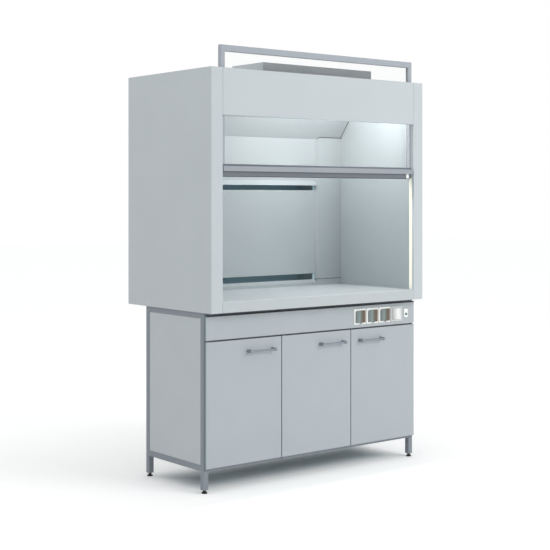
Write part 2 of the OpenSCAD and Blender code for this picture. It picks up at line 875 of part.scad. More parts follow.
// Slab with a deep front edge, hollow underneath between its ribs
module worktop() {
    half = open_x - seam;
    depth = rear_d - sheet_t - seam;
    bays = 3;
    bay_w = (2 * half - (bays + 1) * worktop_rib) / bays;
    color("#C4CFD2") from_front() difference() {
        bar_x(half) {
            translate([0, base_h]) square([depth, worktop_edge - worktop_r]);
            translate([worktop_r, base_h]) square([depth - worktop_r, worktop_edge]);
            translate([worktop_r, worktop_z - worktop_r]) circle(worktop_r);
        }
        for (i = [0:bays - 1])
            translate([-half + worktop_rib + i * (bay_w + worktop_rib), worktop_rib, base_h - over])
                cube([bay_w, depth - 2 * worktop_rib, over + worktop_edge - worktop_t]);
        box([-hood_w, baffle_d - glass_gap, worktop_z - strip_groove],
            [hood_w, baffle_d + baffle_t + glass_gap, worktop_z + over]);
    }
}

// Block with its four front edges rounded, from a depth and a height to others
module fascia_block(half, near, far, low, high, r) {
    intersection() {
        bar_x(half) translate([near, low]) rounded_plan(far - near, high - low, [r, 0, 0, r]);
        translate([-half, near, low]) linear_extrude(high - low)
            rounded_plan(2 * half, far - near, [r, r, 0, 0]);
    }
}

// Front panel over the opening, folded back along all four edges
module fascia() {
    half = open_x - seam;
    far = return_d - sheet_t;
    low = fascia_z + sheet_t;
    high = hood_top - sheet_t;
    color("#CCD4D7") from_front() difference() {
        fascia_block(half, 0, far, fascia_z, hood_top, fold_r);
        fascia_block(half - sheet_t, sheet_t, far + sheet_t, low, high, fold_r - sheet_t);
    }
}

// Roof sheet with a stiffening fold behind the sash slot, the lamp opening and the duct hole
module roof() {
    half = open_x - seam;
    color("#C2CBCE") from_front() difference() {
        union() {
            box([-half, roof_front, hood_top - sheet_t], [half, hood_d, hood_top]);
            box([-half + liner_fold, roof_front, hood_top - roof_fold],
                [half - liner_fold, roof_front + sheet_t, hood_top - sheet_t + eps]);
        }
        box([-window_half, roof_front + lamp_rim, hood_top - over],
            [window_half, roof_front + lamp_d - lamp_rim, hood_top + over]);
        translate([0, collar_d, hood_top - over]) cylinder(h = 2 * over, r = collar_r - collar_wall);
    }
}

module back_panel() {
    half = open_x - seam;
    color("#C2CBCE") from_front() box([-half, rear_d, base_h], [half, hood_d, hood_top - sheet_t]);
}

// Lamp housing on the roof, open underneath, with a holder at each end of the tube
module lamp_box() {
    half = lamp_w / 2;
    top = hood_top + lamp_h;
    holder_z = hood_top + window_t + tube_gap;
    color("#BCC6C9") from_front() {
        difference() {
            box([-half, roof_front, hood_top], [half, roof_front + lamp_d, top]);
            box([-half + sheet_t, roof_front + sheet_t, hood_top - over],
                [half - sheet_t, roof_front + lamp_d - sheet_t, top - sheet_t]);
        }
        for (s = [-1, 1]) on_side(s)
            box([tube_len / 2 + insert_gap, lamp_mid - tube_r, holder_z],
                [tube_len / 2 + holder_l, lamp_mid + tube_r, top - sheet_t + eps]);
    }
}

module lamp_window() {
    rim = lamp_rim - window_lap;
    color("#CFE3E2") from_front()
        box([-window_half - window_lap, roof_front + rim, hood_top],
            [window_half + window_lap, roof_front + lamp_d - rim, hood_top + window_t]);
}

module lamp_tube() {
    z = hood_top + lamp_h - sheet_t - tube_gap - tube_r;
    color("#F4F6F2") from_front() rod_x(-tube_len / 2, tube_len / 2, lamp_mid, z, tube_r);
}

module exhaust_collar() {
    color("#9AA3A7") from_front() translate([0, collar_d, hood_top]) rotate_extrude() {
        translate([collar_r - collar_wall, 0]) square([collar_wall, collar_h]);
        translate([collar_r - collar_wall, 0]) square([collar_wall + collar_flange, collar_wall]);
    }
}

// Baffle

// Side strips, each folded back at a slant along its inner edge to the post behind it
module baffle_sides() {
    low = low_slot_z + baffle_gap;
    face_top = slope_z + (strip_step - baffle_t) * tan(slope_angle) - strip_gap;
    inner = centre_x + panel_gap / 2;
    color("#CBD6D8") from_front() for (s = [-1, 1]) on_side(s) {
        box([inner + strip_fold, baffle_d, low], [open_x - seam, baffle_d + baffle_t, face_top]);
        translate([0, 0, low]) linear_extrude(slope_z - seam - low) polygon([
            [inner, panel_d],
            [inner + strip_fold, baffle_d],
            [inner + strip_fold + eps, baffle_d],
            [inner + strip_fold + eps, baffle_d + baffle_t],
            [inner + strip_fold, baffle_d + baffle_t],
            [inner + baffle_t, panel_d],
            [inner + baffle_t, panel_d + baffle_t],
            [inner, panel_d + baffle_t]]);
    }
}

// Strip in the worktop's groove; between the posts it is bent back to the sill of the lower slot
module baffle_bottom() {
    bend_z = worktop_z + bottom_h;
    half = open_x - seam;
    color("#B9C6C9") from_front() {
        box([-half, baffle_d, worktop_z - strip_groove], [half, baffle_d + baffle_t, bend_z]);
        for (s = [-1, 1]) on_side(s)
            box([centre_x, baffle_d, bend_z - eps], [half, baffle_d + baffle_t, low_slot_z]);
        bar_x(centre_x - panel_gap) polygon([
            [baffle_d, bend_z - eps],
            [baffle_d, bend_z],
            [panel_d, low_slot_z],
            [panel_d + baffle_t, low_slot_z],
            [baffle_d + baffle_t, bend_z],
            [baffle_d + baffle_t, bend_z - eps]]);
    }
}

module baffle_middle() {
    half = centre_x - panel_gap / 2;
    color("#CBD6D8") from_front()
        box([-half, panel_d, middle_z], [half, panel_d + baffle_t, middle_z + middle_h]);
}

// Upright panel whose lower edge is bent forward over the upper slot
module baffle_upper() {
    color("#CBD6D8") from_front() bar_x(centre_x - panel_gap / 2) polygon([
        [panel_d, slope_z - seam],
        [panel_d, upper_z],
        [panel_d - lip_d, lip_z],
        [panel_d - lip_d + baffle_t, lip_z],
        [panel_d + baffle_t, upper_z],
        [panel_d + baffle_t, slope_z - seam]]);
}

// Sheet that slopes forward from the upper panel to the roof
module baffle_slope() {
    high = hood_top - 2 * sheet_t;
    color("#C3D0D2") from_front() bar_x(open_x - slope_gap) polygon([
        [panel_d, slope_z],
        [panel_d - slope_run, high],
        [panel_d - slope_run + baffle_t, high],
        [panel_d + baffle_t, slope_z]]);
}

// Channels that stand on the worktop and hold the baffle off the rear panel, open on their outer side
module baffle_posts() {
    near = panel_d + baffle_t;
    half = post_w / 2;
    color("#9FA8AB") from_front() for (s = [-1, 1]) on_side(s) difference() {
        box([centre_x - half, near, worktop_z], [centre_x + half, rear_d, slope_z - seam]);
        box([centre_x - half + sheet_t, near + sheet_t, worktop_z - over],
            [centre_x + half + over, rear_d - sheet_t, slope_z + over]);
    }
}

// Sash

// Inverted U of hollow section with a groove round its inside for the pane
module sash_frame() {
    low = sash_z + sash_rail_h;
    high = sash_z + sash_h;
    inner = sash_x - sash_tube;
    near = sash_setback;
    wall_x = sash_x - sash_wall;
    core_x = glass_x + sash_wall;  // inner face of the hollow in each stile
    core_z = high - sash_top_h + glass_groove + sash_wall;
    color("#A5ABB4") from_front() difference() {
        box([-sash_x, near, low], [sash_x, sash_back, high]);
        box([-inner, near - over, low - over], [inner, sash_back + over, high - sash_top_h]);
        box([-glass_x, glass_d - glass_gap, low - over],
            [glass_x, glass_d + glass_t + glass_gap, high - sash_top_h + glass_groove]);
        difference() {
            box([-wall_x, near + sash_wall, low - over], [wall_x, sash_back - sash_wall, high - sash_wall]);
            box([-core_x, near, low - 2 * over], [core_x, sash_back, core_z]);
        }
    }
}

// Hollow bottom rail across the full width, grooved on top for the pane
module sash_bottom_rail() {
    high = sash_z + sash_rail_h;
    color("#70757D") from_front() difference() {
        box([-sash_x, sash_setback, sash_z], [sash_x, sash_back, high]);
        box([-sash_x - over, sash_setback + sash_wall, sash_z + sash_wall],
            [sash_x + over, sash_back - sash_wall, high - glass_groove - sash_wall]);
        box([-glass_x, glass_d - glass_gap, high - glass_groove],
            [glass_x, glass_d + glass_t + glass_gap, high + over]);
    }
}

module sash_glass() {
    half = glass_x - glass_gap;
    color("#CFE3E2") from_front()
        box([-half, glass_d, sash_z + sash_rail_h - glass_groove],
            [half, glass_d + glass_t, sash_z + sash_h - sash_top_h + glass_groove - glass_gap]);
}

// Extruded grip: a back plate, a top web and a rounded front lip, open below for the fingers
module sash_grip() {
    z = sash_z + grip_rise;
    near = sash_setback - grip_d;
    color("#A3A9B3") from_front() bar_x(sash_x - grip_end) {
        translate([near + grip_t / 2, z + grip_h - grip_t]) square([grip_d - grip_t / 2, grip_t]);
        translate([near, z + grip_t / 2]) square([grip_t, grip_h - grip_t]);
        translate([near + grip_t / 2, z + grip_t / 2]) circle(grip_t / 2);
        translate([near + grip_t / 2, z + grip_h - grip_t / 2]) circle(grip_t / 2);
        translate([near + grip_d - grip_t / 2, z]) square([grip_t / 2, grip_h]);
    }
}

// Four blocks on the stiles that slide in the guides; the cables start at the upper two
module sash_shoes() {
    half = shoe_w / 2;
    shoe_play = 1;  // between a shoe's end and the bottom of its guide
    shoe_x = open_x + guide_d - guide_wall - shoe_play;
    heights = [sash_z + sash_rail_h + shoe_low, guide_top - shoe_top - shoe_h];
    color("#E8E6DC") from_front() for (s = [-1, 1], z = heights) on_side(s)
        box([sash_x, guide_mid - half, z], [shoe_x, guide_mid + half, z + shoe_h]);
}

// White plastic channels let into the jambs
module sash_guides() {
    color("#F0EFE6") from_front() for (s = [-1, 1]) on_side(s) difference() {
        box([open_x, return_d, worktop_z], [open_x + guide_d, return_d + guide_w, guide_top]);
        box([open_x - over, return_d + guide_wall, worktop_z - over],
            [open_x + guide_d - guide_wall, return_d + guide_w - guide_wall, guide_top + over]);
    }
}

// Counterbalance

module counterweights() {
    color("#5A5F64") from_front() for (s = [-1, 1]) on_side(s) {
        box([weight_x - weight_w / 2, guide_mid - weight_w / 2, weight_z],
            [weight_x + weight_w / 2, guide_mid + weight_w / 2, weight_z + weight_len]);
        translate([weight_x, guide_mid, weight_z + weight_len - eps]) cylinder(h = eye_h + eps, r = eye_r);
    }
}

// Grooved wheel on a bore
module pulley(s) {
    groove_gap = 0.2;  // between the cable and the bottom of the groove
    groove = pulley_r - cable_r - groove_gap;
    groove_half = cable_r + groove_gap;
    half = pulley_w / 2;
    rim = 1;
    from_front() on_side(s) translate([pulley_x, guide_mid, pulley_z]) rotate([90, 0, 0]) rotate_extrude()
        polygon([
            [axle_r + axle_gap, -half],
            [pulley_out, -half],
            [pulley_out, -half + rim],
            [groove, -groove_half],
            [groove, groove_half],
            [pulley_out, half - rim],
            [pulley_out, half],
            [axle_r + axle_gap, half]]);
}

module pulley_left() {
    color("#D8D2BE") pulley(-1);
}

module pulley_right() {
    color("#D8D2BE") pulley(1);
}

// Yokes under the tops of the cheeks, each with the axle of its pulley
module pulley_yokes() {
    half = pulley_w / 2 + yoke_gap;
    top = hood_top - sheet_t;
    color("#8C9399") from_front() for (s = [-1, 1]) on_side(s) {
        box([pulley_x - yoke_half, guide_mid - half - yoke_t, top - yoke_t],
            [pulley_x + yoke_half, guide_mid + half + yoke_t, top]);
        for (d = [guide_mid - half - yoke_t, guide_mid + half])
            box([pulley_x - yoke_half, d, pulley_z - yoke_tail], [pulley_x + yoke_half, d + yoke_t, top]);
        rod_y(pulley_x, pulley_z, guide_mid - half - eps, guide_mid + half + eps, axle_r);
    }
}

// Cables from the upper shoes over the pulleys down to the counterweights, as they lie with the sash raised
module sash_cables() {
    shoe_end = guide_top - shoe_top;
    weight_end = weight_z + weight_len + eye_h;
    color("#6E7479") from_front() for (s = [-1, 1]) on_side(s) {
        translate([open_x + cable_inset, guide_mid, shoe_end]) cylinder(h = pulley_z - shoe_end, r = cable_r);
        translate([weight_x, guide_mid, weight_end]) cylinder(h = pulley_z - weight_end, r = cable_r);
        translate([pulley_x, guide_mid, pulley_z]) rotate([90, 0, 0])
            rotate_extrude(angle = 180) translate([pulley_r, 0]) circle(cable_r);
    }
}

// Fixed pane above the opening

module upper_pane() {
    half = open_x - channel_depth + glass_groove;
    color("#CFE3E2") from_front()
        box([-half + glass_gap, pane_d, pane_z], [half - glass_gap, pane_d + glass_t, pane_z + pane_h]);
}

module pane_channels() {
    inner = open_x - channel_depth;
    color("#C9D0D3") from_front() for (s = [-1, 1]) on_side(s) difference() {
        box([inner, channel_d, pane_z - 2 * channel_wall], [open_x, channel_d + channel_w, pane_z + pane_h]);
        box([inner - over, pane_d - glass_gap, pane_z],
            [inner + glass_groove, pane_d + glass_t + glass_gap, pane_z + pane_h + over]);
    }
}

side_frame_left();
side_frame_right();
cross_rails();
levelling_feet();
side_panel_left();
side_panel_right();
cabinet_floor();
cabinet_top();
cabinet_back();
cabinet_dividers();
apron();
door_left();
door_middle();
door_right();
handle_left();
handle_middle();
handle_right();
door_pivots();
socket_frame_left();
socket_frame_middle();
socket_frame_right();
socket_lid_left();
socket_lid_middle();
socket_lid_right();
socket_inserts();
light_switch_frame();
light_rocker();
button_plate();
fan_button();
cheek_left();
cheek_right();
liner_left();
liner_right();
worktop();
fascia();
roof();
back_panel();
baffle_sides();
baffle_bottom();
baffle_middle();
baffle_upper();
baffle_slope();
baffle_posts();
lamp_box();
lamp_window();
lamp_tube();
exhaust_collar();
sash_frame();
sash_bottom_rail();
sash_glass();
sash_grip();
sash_shoes();
sash_guides();
counterweights();
pulley_left();
pulley_right();
pulley_yokes();
sash_cables();
upper_pane();
pane_channels();
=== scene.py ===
import json
import math
import bmesh
import bpy
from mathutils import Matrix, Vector


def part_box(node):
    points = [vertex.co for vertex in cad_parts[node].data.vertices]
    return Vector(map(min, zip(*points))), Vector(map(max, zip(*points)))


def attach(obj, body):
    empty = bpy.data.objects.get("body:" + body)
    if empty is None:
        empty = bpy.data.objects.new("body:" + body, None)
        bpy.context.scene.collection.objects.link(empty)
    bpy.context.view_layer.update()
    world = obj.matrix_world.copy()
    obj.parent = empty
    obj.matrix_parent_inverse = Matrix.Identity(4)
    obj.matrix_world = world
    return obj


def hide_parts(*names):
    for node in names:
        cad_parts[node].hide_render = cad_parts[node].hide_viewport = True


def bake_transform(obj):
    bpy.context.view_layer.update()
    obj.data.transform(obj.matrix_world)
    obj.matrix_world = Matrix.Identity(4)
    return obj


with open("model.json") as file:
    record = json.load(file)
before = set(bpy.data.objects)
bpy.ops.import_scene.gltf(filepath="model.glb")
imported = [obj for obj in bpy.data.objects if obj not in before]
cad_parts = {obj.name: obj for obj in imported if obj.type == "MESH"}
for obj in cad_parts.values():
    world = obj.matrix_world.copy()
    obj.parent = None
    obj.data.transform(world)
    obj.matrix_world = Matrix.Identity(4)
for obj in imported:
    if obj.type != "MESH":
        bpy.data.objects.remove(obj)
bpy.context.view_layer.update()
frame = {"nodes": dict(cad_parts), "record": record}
nodes = frame["nodes"]
slotOf = {part["node"]: part["material_slot"] for part in frame["record"]["subparts"]}
bodyOf = {node: body for body, held in frame["record"]["behaviour"]["bodies"].items() for node in held}
print("frame loaded:", len(nodes), "nodes")

# Camera, at the photograph's viewpoint

photoCamera = {
    "place": (-4.3377, -5.3885, 1.4978),
    "turn": -38.535,  # degrees from straight at the front, towards the left side
    "lens": 80.52,
    "sensor": 36,
    "shiftX": 0.00424,
    "shiftY": -0.1404,
    "farEnd": 100,
}
cameraData = bpy.data.cameras.new("photoCamera")
cameraData.lens = photoCamera["lens"]
cameraData.sensor_width = photoCamera["sensor"]
cameraData.shift_x = photoCamera["shiftX"]
cameraData.shift_y = photoCamera["shiftY"]
cameraData.clip_end = photoCamera["farEnd"]
camera = bpy.data.objects.new("photoCamera", cameraData)
camera.location = photoCamera["place"]
camera.rotation_euler = (math.radians(90), 0, math.radians(photoCamera["turn"]))
bpy.context.scene.collection.objects.link(camera)
bpy.context.scene.camera = camera

# Helpers


def linear(hexText):
    channels = [int(hexText[i:i + 2], 16) / 255 for i in (1, 3, 5)]
    return [c / 12.92 if c <= 0.04045 else ((c + 0.055) / 1.055) ** 2.4 for c in channels] + [1]


def addNode(tree, kind, values=None, links=None, **settings):
    # Inputs go by name, or by number where several of a node's inputs share one name.
    node = tree.nodes.new(kind)
    for name, value in settings.items():
        setattr(node, name, value)
    for name, value in (values or {}).items():
        node.inputs[name].default_value = value
    for name, source in (links or {}).items():
        tree.links.new(source, node.inputs[name])
    return node


def newMaterial(name):
    material = bpy.data.materials.new(name)
    material.use_nodes = True
    material.node_tree.nodes.clear()
    return material, material.node_tree


def featureScale(millimetres):
    return 1000 / millimetres  # a noise of this scale has features of about this size


# Finishes


def skinNormal(tree, place, look, detail):
    # A shallow relief of the skin's real grain, which breaks up the gloss.
    grain = addNode(tree, "ShaderNodeTexNoise", {"Scale": featureScale(look["skinMm"]), "Detail": detail},
                    {"Vector": place})
    return addNode(tree, "ShaderNodeBump", {"Strength": look["skinStrength"], "Distance": look["skinDepth"]},
                   {"Height": grain.outputs["Fac"]}).outputs["Normal"]


def coated(name, look):
    # A sprayed or moulded surface: a little cloudiness in its colour and gloss, over a fine skin.
    material, tree = newMaterial(name)
    place = addNode(tree, "ShaderNodeTexCoord").outputs["Object"]
    cloud = addNode(tree, "ShaderNodeTexNoise", {"Scale": featureScale(look["cloudMm"]), "Detail": 2},
                    {"Vector": place})
    tint = addNode(tree, "ShaderNodeMix", {6: linear(look["colour"]), 7: linear(look["shade"])},
                   {0: cloud.outputs["Fac"]}, data_type="RGBA")
    gloss = addNode(tree, "ShaderNodeMapRange",
                    {"To Min": look["rough"] - look["roughSpread"],
                     "To Max": look["rough"] + look["roughSpread"]},
                    {"Value": cloud.outputs["Fac"]})
    # A glow given in a finish is painted light, except on the lamp tube, which is a lamp.
    shader = addNode(tree, "ShaderNodeBsdfPrincipled",
                     {"Metallic": look.get("metallic", 0), "Emission Color": linear(look["colour"]),
                      "Emission Strength": look.get("glow", 0)},
                     {"Base Color": tint.outputs[2], "Roughness": gloss.outputs["Result"],
                      "Normal": skinNormal(tree, place, look, 3)})
    addNode(tree, "ShaderNodeOutputMaterial", None, {"Surface": shader.outputs["BSDF"]})
    return material


def clearGlass(name, look):
    # Float glass, drawn flat on molten tin: a faint green body and a slight waviness in what it mirrors.
    material, tree = newMaterial(name)
    place = addNode(tree, "ShaderNodeTexCoord").outputs["Object"]
    glass = addNode(tree, "ShaderNodeBsdfPrincipled",
                    {"Base Color": linear(look["colour"]), "Transmission Weight": 1, "IOR": look["ior"],
                     "Roughness": 0},
                    {"Normal": skinNormal(tree, place, look, 1)})
    clear = addNode(tree, "ShaderNodeBsdfTransparent", {"Color": linear(look["colour"])})
    path = addNode(tree, "ShaderNodeLightPath")
    mix = addNode(tree, "ShaderNodeMixShader", None,
                  {0: path.outputs["Is Shadow Ray"], 1: glass.outputs["BSDF"], 2: clear.outputs["BSDF"]})
    addNode(tree, "ShaderNodeOutputMaterial", None, {"Surface": mix.outputs["Shader"]})
    return material


def paintedReflectionBands(name, first, following, look):
    # A glossy moulding with painted reflection and shade: its tone runs across its width in bands, repeated
    # at the pitch of two neighbours.
    material, tree = newMaterial(name)
    place = addNode(tree, "ShaderNodeTexCoord").outputs["Object"]
    low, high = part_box(first)
    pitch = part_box(following)[0].x - low.x or 1  # a piece on its own has no neighbour to repeat for
    across = addNode(tree, "ShaderNodeSeparateXYZ", None, {"Vector": place})
    shifted = addNode(tree, "ShaderNodeMath", {1: low.x}, {0: across.outputs["X"]}, operation="SUBTRACT")
    folded = addNode(tree, "ShaderNodeMath", {1: pitch}, {0: shifted.outputs[0]}, operation="FLOORED_MODULO")
    share = addNode(tree, "ShaderNodeMath", {1: high.x - low.x}, {0: folded.outputs[0]}, operation="DIVIDE")
    ramp = addNode(tree, "ShaderNodeValToRGB", None, {"Fac": share.outputs[0]})
    stops = ramp.color_ramp.elements
    while len(stops) < len(look["stops"]):
        stops.new(0.5)
    for stop, position, colour in zip(stops, look["stops"], look["colours"]):
        stop.position = position
        stop.color = linear(colour)
    shader = addNode(tree, "ShaderNodeBsdfPrincipled", {"Roughness": look["rough"], "IOR": look["ior"]},
                     {"Base Color": ramp.outputs["Color"], "Normal": skinNormal(tree, place, look, 2)})
    addNode(tree, "ShaderNodeOutputMaterial", None, {"Surface": shader.outputs["BSDF"]})
    return material


steelSkin = {"cloudMm": 260, "rough": 0.5, "roughSpread": 0.06, "skinMm": 7, "skinStrength": 0.25,
             "skinDepth": 0.0002}  # orange peel is about 1.5 mm, drawn coarser so that it shows
boardSkin = {"cloudMm": 180, "rough": 0.42, "roughSpread": 0.06, "skinMm": 5, "skinStrength": 0.2,
             "skinDepth": 0.00015}
plasticSkin = {"cloudMm": 40, "rough": 0.3, "roughSpread": 0.04, "skinMm": 2, "skinStrength": 0.12,
               "skinDepth": 0.0001}

finishes = {
    # Sheet steel, folded and powder coated: an even satin skin with orange peel, in pale and darker greys.
    # The lamp box's front is painted darker than the rest of the box, as painted shade.
    "panel": coated("powderCoatedSteel", dict(steelSkin, colour="#CDD5D8", shade="#C8D0D4")),
    "frame": coated("greyPowderCoatedTube", dict(steelSkin, colour="#8E969F", shade="#8A929B")),
    "lampFrontShade": coated("lampFrontPaintedShade", dict(steelSkin, colour="#8A9094", shade="#858B8F")),
    # Sheet steel under a sprayed epoxy coat: a little glossier, and faintly blue in the chamber's light. The
    # rear skin seen through the baffle's slots is painted a darker teal, as painted shade. The posts' fronts
    # behind the slots are a paler teal, painted light over their shadow with a teal painted shade.
    "liner": coated("epoxyCoatedLiner", dict(steelSkin, colour="#B1BBBD", shade="#ACB6B9", rough=0.4)),
    "rearSkinSlotShade": coated("rearSkinPaintedSlotShade", dict(steelSkin, colour="#A5BCC4", shade="#A0B7BF")),
    "postFrontLightAndShade": coated("postFrontPaintedLightAndShade", dict(steelSkin, colour="#B9D6DF", shade="#B4D1DA")),
    # Chipboard pressed between laminate sheets: flat, low in gloss, finely textured by the press plate.
    "door": coated("laminatedDoorBoard", dict(boardSkin, colour="#BAC2C7", shade="#B5BDC2")),
    "sidePanel": coated("laminatedSideBoard", dict(boardSkin, colour="#C8D0D3", shade="#C3CBCF")),
    "board": coated("melamineCabinetBoard", dict(boardSkin, colour="#CDD1D2", shade="#C6CBCC")),
    # Extruded ABS strip glued round the boards: darker than the face. Where an edge faces into a gap, on the
    # doors' tops and the apron's underside, it is painted almost black as painted shade.
    "edgeBand": coated("absEdgeBand", dict(plasticSkin, colour="#85979A", shade="#809295", rough=0.38)),
    "gapShadeEdge": coated("edgeBandPaintedGapShade", dict(plasticSkin, colour="#262C2F", shade="#21272A", rough=0.45)),
    # Resin cast in a flat mould, and laminate pressed to a solid board: smooth, pale and slightly glossy.
    "worktop": coated("castResinWorktop", dict(boardSkin, colour="#C8CFD1", shade="#C3CBCE", rough=0.35)),
    "baffle": coated("compactLaminateBaffle", dict(boardSkin, colour="#A3ACAF", shade="#9EA7AA")),
    # Aluminium, extruded, etched and anodised: a soft metal sheen with a cool tint. The sash's undersides are
    # painted darker, as painted shade, and the stiles' inner faces paler, as painted light.
    "sash": coated("anodisedSashSection", dict(steelSkin, colour="#AFB6BE", shade="#A9B0B8", metallic=0.2,
                                               cloudMm=60, rough=0.42)),
    "rail": coated("anodisedBottomRail", dict(steelSkin, colour="#7A8088", shade="#757B83", metallic=0.2,
                                              cloudMm=60, rough=0.42)),
    "grip": coated("anodisedGrip", dict(steelSkin, colour="#A5ACB4", shade="#9FA6AE", metallic=0.2,
                                        cloudMm=60, rough=0.38)),
    "sashUndersideShade": coated("sashUndersidePaintedShade", dict(steelSkin, colour="#858B93", shade="#7F858D",
                                                   metallic=0.2)),
    "stileSideLight": coated("stileSidePaintedLight", dict(steelSkin, colour="#D2D7DB", shade="#CCD1D5")),
    # Steel bar, sheet and wire, ground or zinc plated, and cast iron: bare metal with small dull clouds.
    "handle": coated("satinHandleSteel", dict(steelSkin, colour="#9AA0A8", shade="#8E949C", metallic=0.6,
                                              cloudMm=12, skinMm=1.5, rough=0.38)),
    "bracket": coated("zincPlatedBracket", dict(steelSkin, colour="#8E959A", shade="#7B8288", metallic=0.8,
                                                cloudMm=14)),
    "screw": coated("zincPlatedScrew", dict(steelSkin, colour="#B4B9BC", shade="#A3A9AD", metallic=0.8,
                                            cloudMm=6, skinMm=1, rough=0.35)),
    "collar": coated("galvanisedCollar", dict(steelSkin, colour="#A8B0B4", shade="#98A1A5", metallic=0.6,
                                              cloudMm=25, rough=0.4)),
    "cable": coated("galvanisedWireRope", dict(steelSkin, colour="#8A9095", shade="#6E7479", metallic=0.9,
                                               cloudMm=4)),
    "weight": coated("blackenedCastWeight", dict(steelSkin, colour="#5E6368", shade="#54595E", metallic=0.4,
                                                 cloudMm=20, skinMm=3, rough=0.6)),
    # Injection-moulded plastics: glossier, evenly coloured, with the die's fine spark texture. The white
    # mouldings and the cream guides also glow faintly, though they are no lamps: painted light.
    "foot": coated("blackMouldedFoot", dict(plasticSkin, colour="#050506", shade="#0A0B0C")),
    "white": coated("whiteAbsPaintedGlow", dict(plasticSkin, colour="#FFFFFB", shade="#FAFAF5", glow=0.14)),
    "insert": coated("whiteMouldedInsert", dict(plasticSkin, colour="#DCDCD6", shade="#D6D6D0")),
    "switchRing": coated("greyMouldedRing", dict(plasticSkin, colour="#DCDEDE", shade="#D6D8D8", rough=0.25)),
    "green": coated("greenMouldedButton", dict(plasticSkin, colour="#08706E", shade="#076664", rough=0.2)),
    "pulley": coated("turnedNylonPulley", dict(plasticSkin, colour="#DAD4C0", shade="#D2CCB8")),
    "guide": coated("creamGuidePaintedGlow", dict(plasticSkin, colour="#FCFBF2", shade="#F7F6EC", glow=0.2)),
    # Smoked polycarbonate lids and a curved rocker: the bands of tone across them are painted reflection of
    # the room in their gloss. On the rocker they are painted shade at its curved sides and a painted
    # highlight down its middle.
    "smoked": paintedReflectionBands("smokedLidPaintedReflection", "socket_lid_left", "socket_lid_middle",
                     {"colours": ("#6F7C80", "#849493", "#66675E", "#655645", "#7A614A"),
                      "stops": (0.0, 0.38, 0.58, 0.8, 1.0), "rough": 0.12, "ior": 1.58, "skinMm": 9,
                      "skinDepth": 0.00006, "skinStrength": 0.2}),
    "rocker": paintedReflectionBands("whiteRockerPaintedShading", "light_rocker", "light_rocker",
                     {"colours": ("#C9CBCB", "#DFE1E1", "#FBFBFB", "#F3F4F4", "#CDCFCF"),
                      "stops": (0.0, 0.22, 0.55, 0.8, 1.0), "rough": 0.25, "ior": 1.58, "skinMm": 4,
                      "skinDepth": 0.00005, "skinStrength": 0.15}),
    # Extruded rubber and gunned silicone: dull to softly glossy, grey or black, with no metal in them. The
    # black strips along the apron's top and over the baffle's side strips are painted shade in the gaps
    # there.
    "rubber": coated("greyEpdmSeal", dict(plasticSkin, colour="#565B60", shade="#4F5459", rough=0.55)),
    "gapShadeSeal": coated("blackSealPaintedGapShade", dict(plasticSkin, colour="#0C0E0F", shade="#121415", rough=0.6)),
    "gasket": coated("paleSiliconeGasket", dict(plasticSkin, colour="#C4CACF", shade="#BEC4C9")),
    "silicone": coated("greySiliconeBead", dict(plasticSkin, colour="#C2C9CB", shade="#BCC4C6")),
    "jointBead": coated("paleSiliconeBead", dict(plasticSkin, colour="#A9B0B2", shade="#A4ABAD")),
    # Glass: a clear float pane, and a lamp tube frosted inside, which glows evenly.
    "glass": clearGlass("clearFloatGlass", {"colour": "#FBFCFC", "ior": 1.5, "skinMm": 150,
                                            "skinStrength": 0.3, "skinDepth": 0.00003}),
    "lamp": coated("frostedLampTube", dict(plasticSkin, colour="#F8FAF6", shade="#F4F6F2", glow=0.9)),
}
finishOf = {
    "side_frame_left": "frame", "side_frame_right": "frame", "cross_rails": "frame", "levelling_feet": "foot",
    "side_panel_left": "sidePanel", "side_panel_right": "sidePanel", "cabinet_floor": "board",
    "cabinet_top": "board", "cabinet_back": "board", "cabinet_dividers": "board", "apron": "door",
    "door_left": "door", "door_middle": "door", "door_right": "door", "handle_left": "handle",
    "handle_middle": "handle", "handle_right": "handle", "door_pivots": "bracket", "socket_inserts": "insert",
    "light_switch_frame": "switchRing", "light_rocker": "rocker", "button_plate": "white",
    "fan_button": "green",
    "cheek_left": "panel", "cheek_right": "panel", "liner_left": "liner", "liner_right": "liner",
    "worktop": "worktop", "fascia": "panel", "roof": "panel", "back_panel": "panel", "baffle_sides": "baffle",
    "baffle_bottom": "baffle", "baffle_middle": "baffle", "baffle_upper": "baffle", "baffle_slope": "baffle",
    "baffle_posts": "liner", "lamp_box": "panel", "lamp_window": "glass", "lamp_tube": "lamp",
    "exhaust_collar": "collar", "sash_frame": "sash", "sash_bottom_rail": "rail", "sash_glass": "glass",
    "sash_grip": "grip", "sash_shoes": "guide", "sash_guides": "guide", "counterweights": "weight",
    "pulley_left": "pulley", "pulley_right": "pulley", "pulley_yokes": "bracket", "sash_cables": "cable",
    "upper_pane": "glass", "pane_channels": "panel",
}
for side in ("left", "middle", "right"):
    finishOf["socket_frame_" + side] = "white"
    finishOf["socket_lid_" + side] = "smoked"
for name, finish in finishOf.items():
    mesh = nodes[name].data
    mesh.materials.clear()
    mesh.materials.append(finishes[finish])
print("finishes given to", len(finishOf), "nodes")

# Rounded copies of the solids

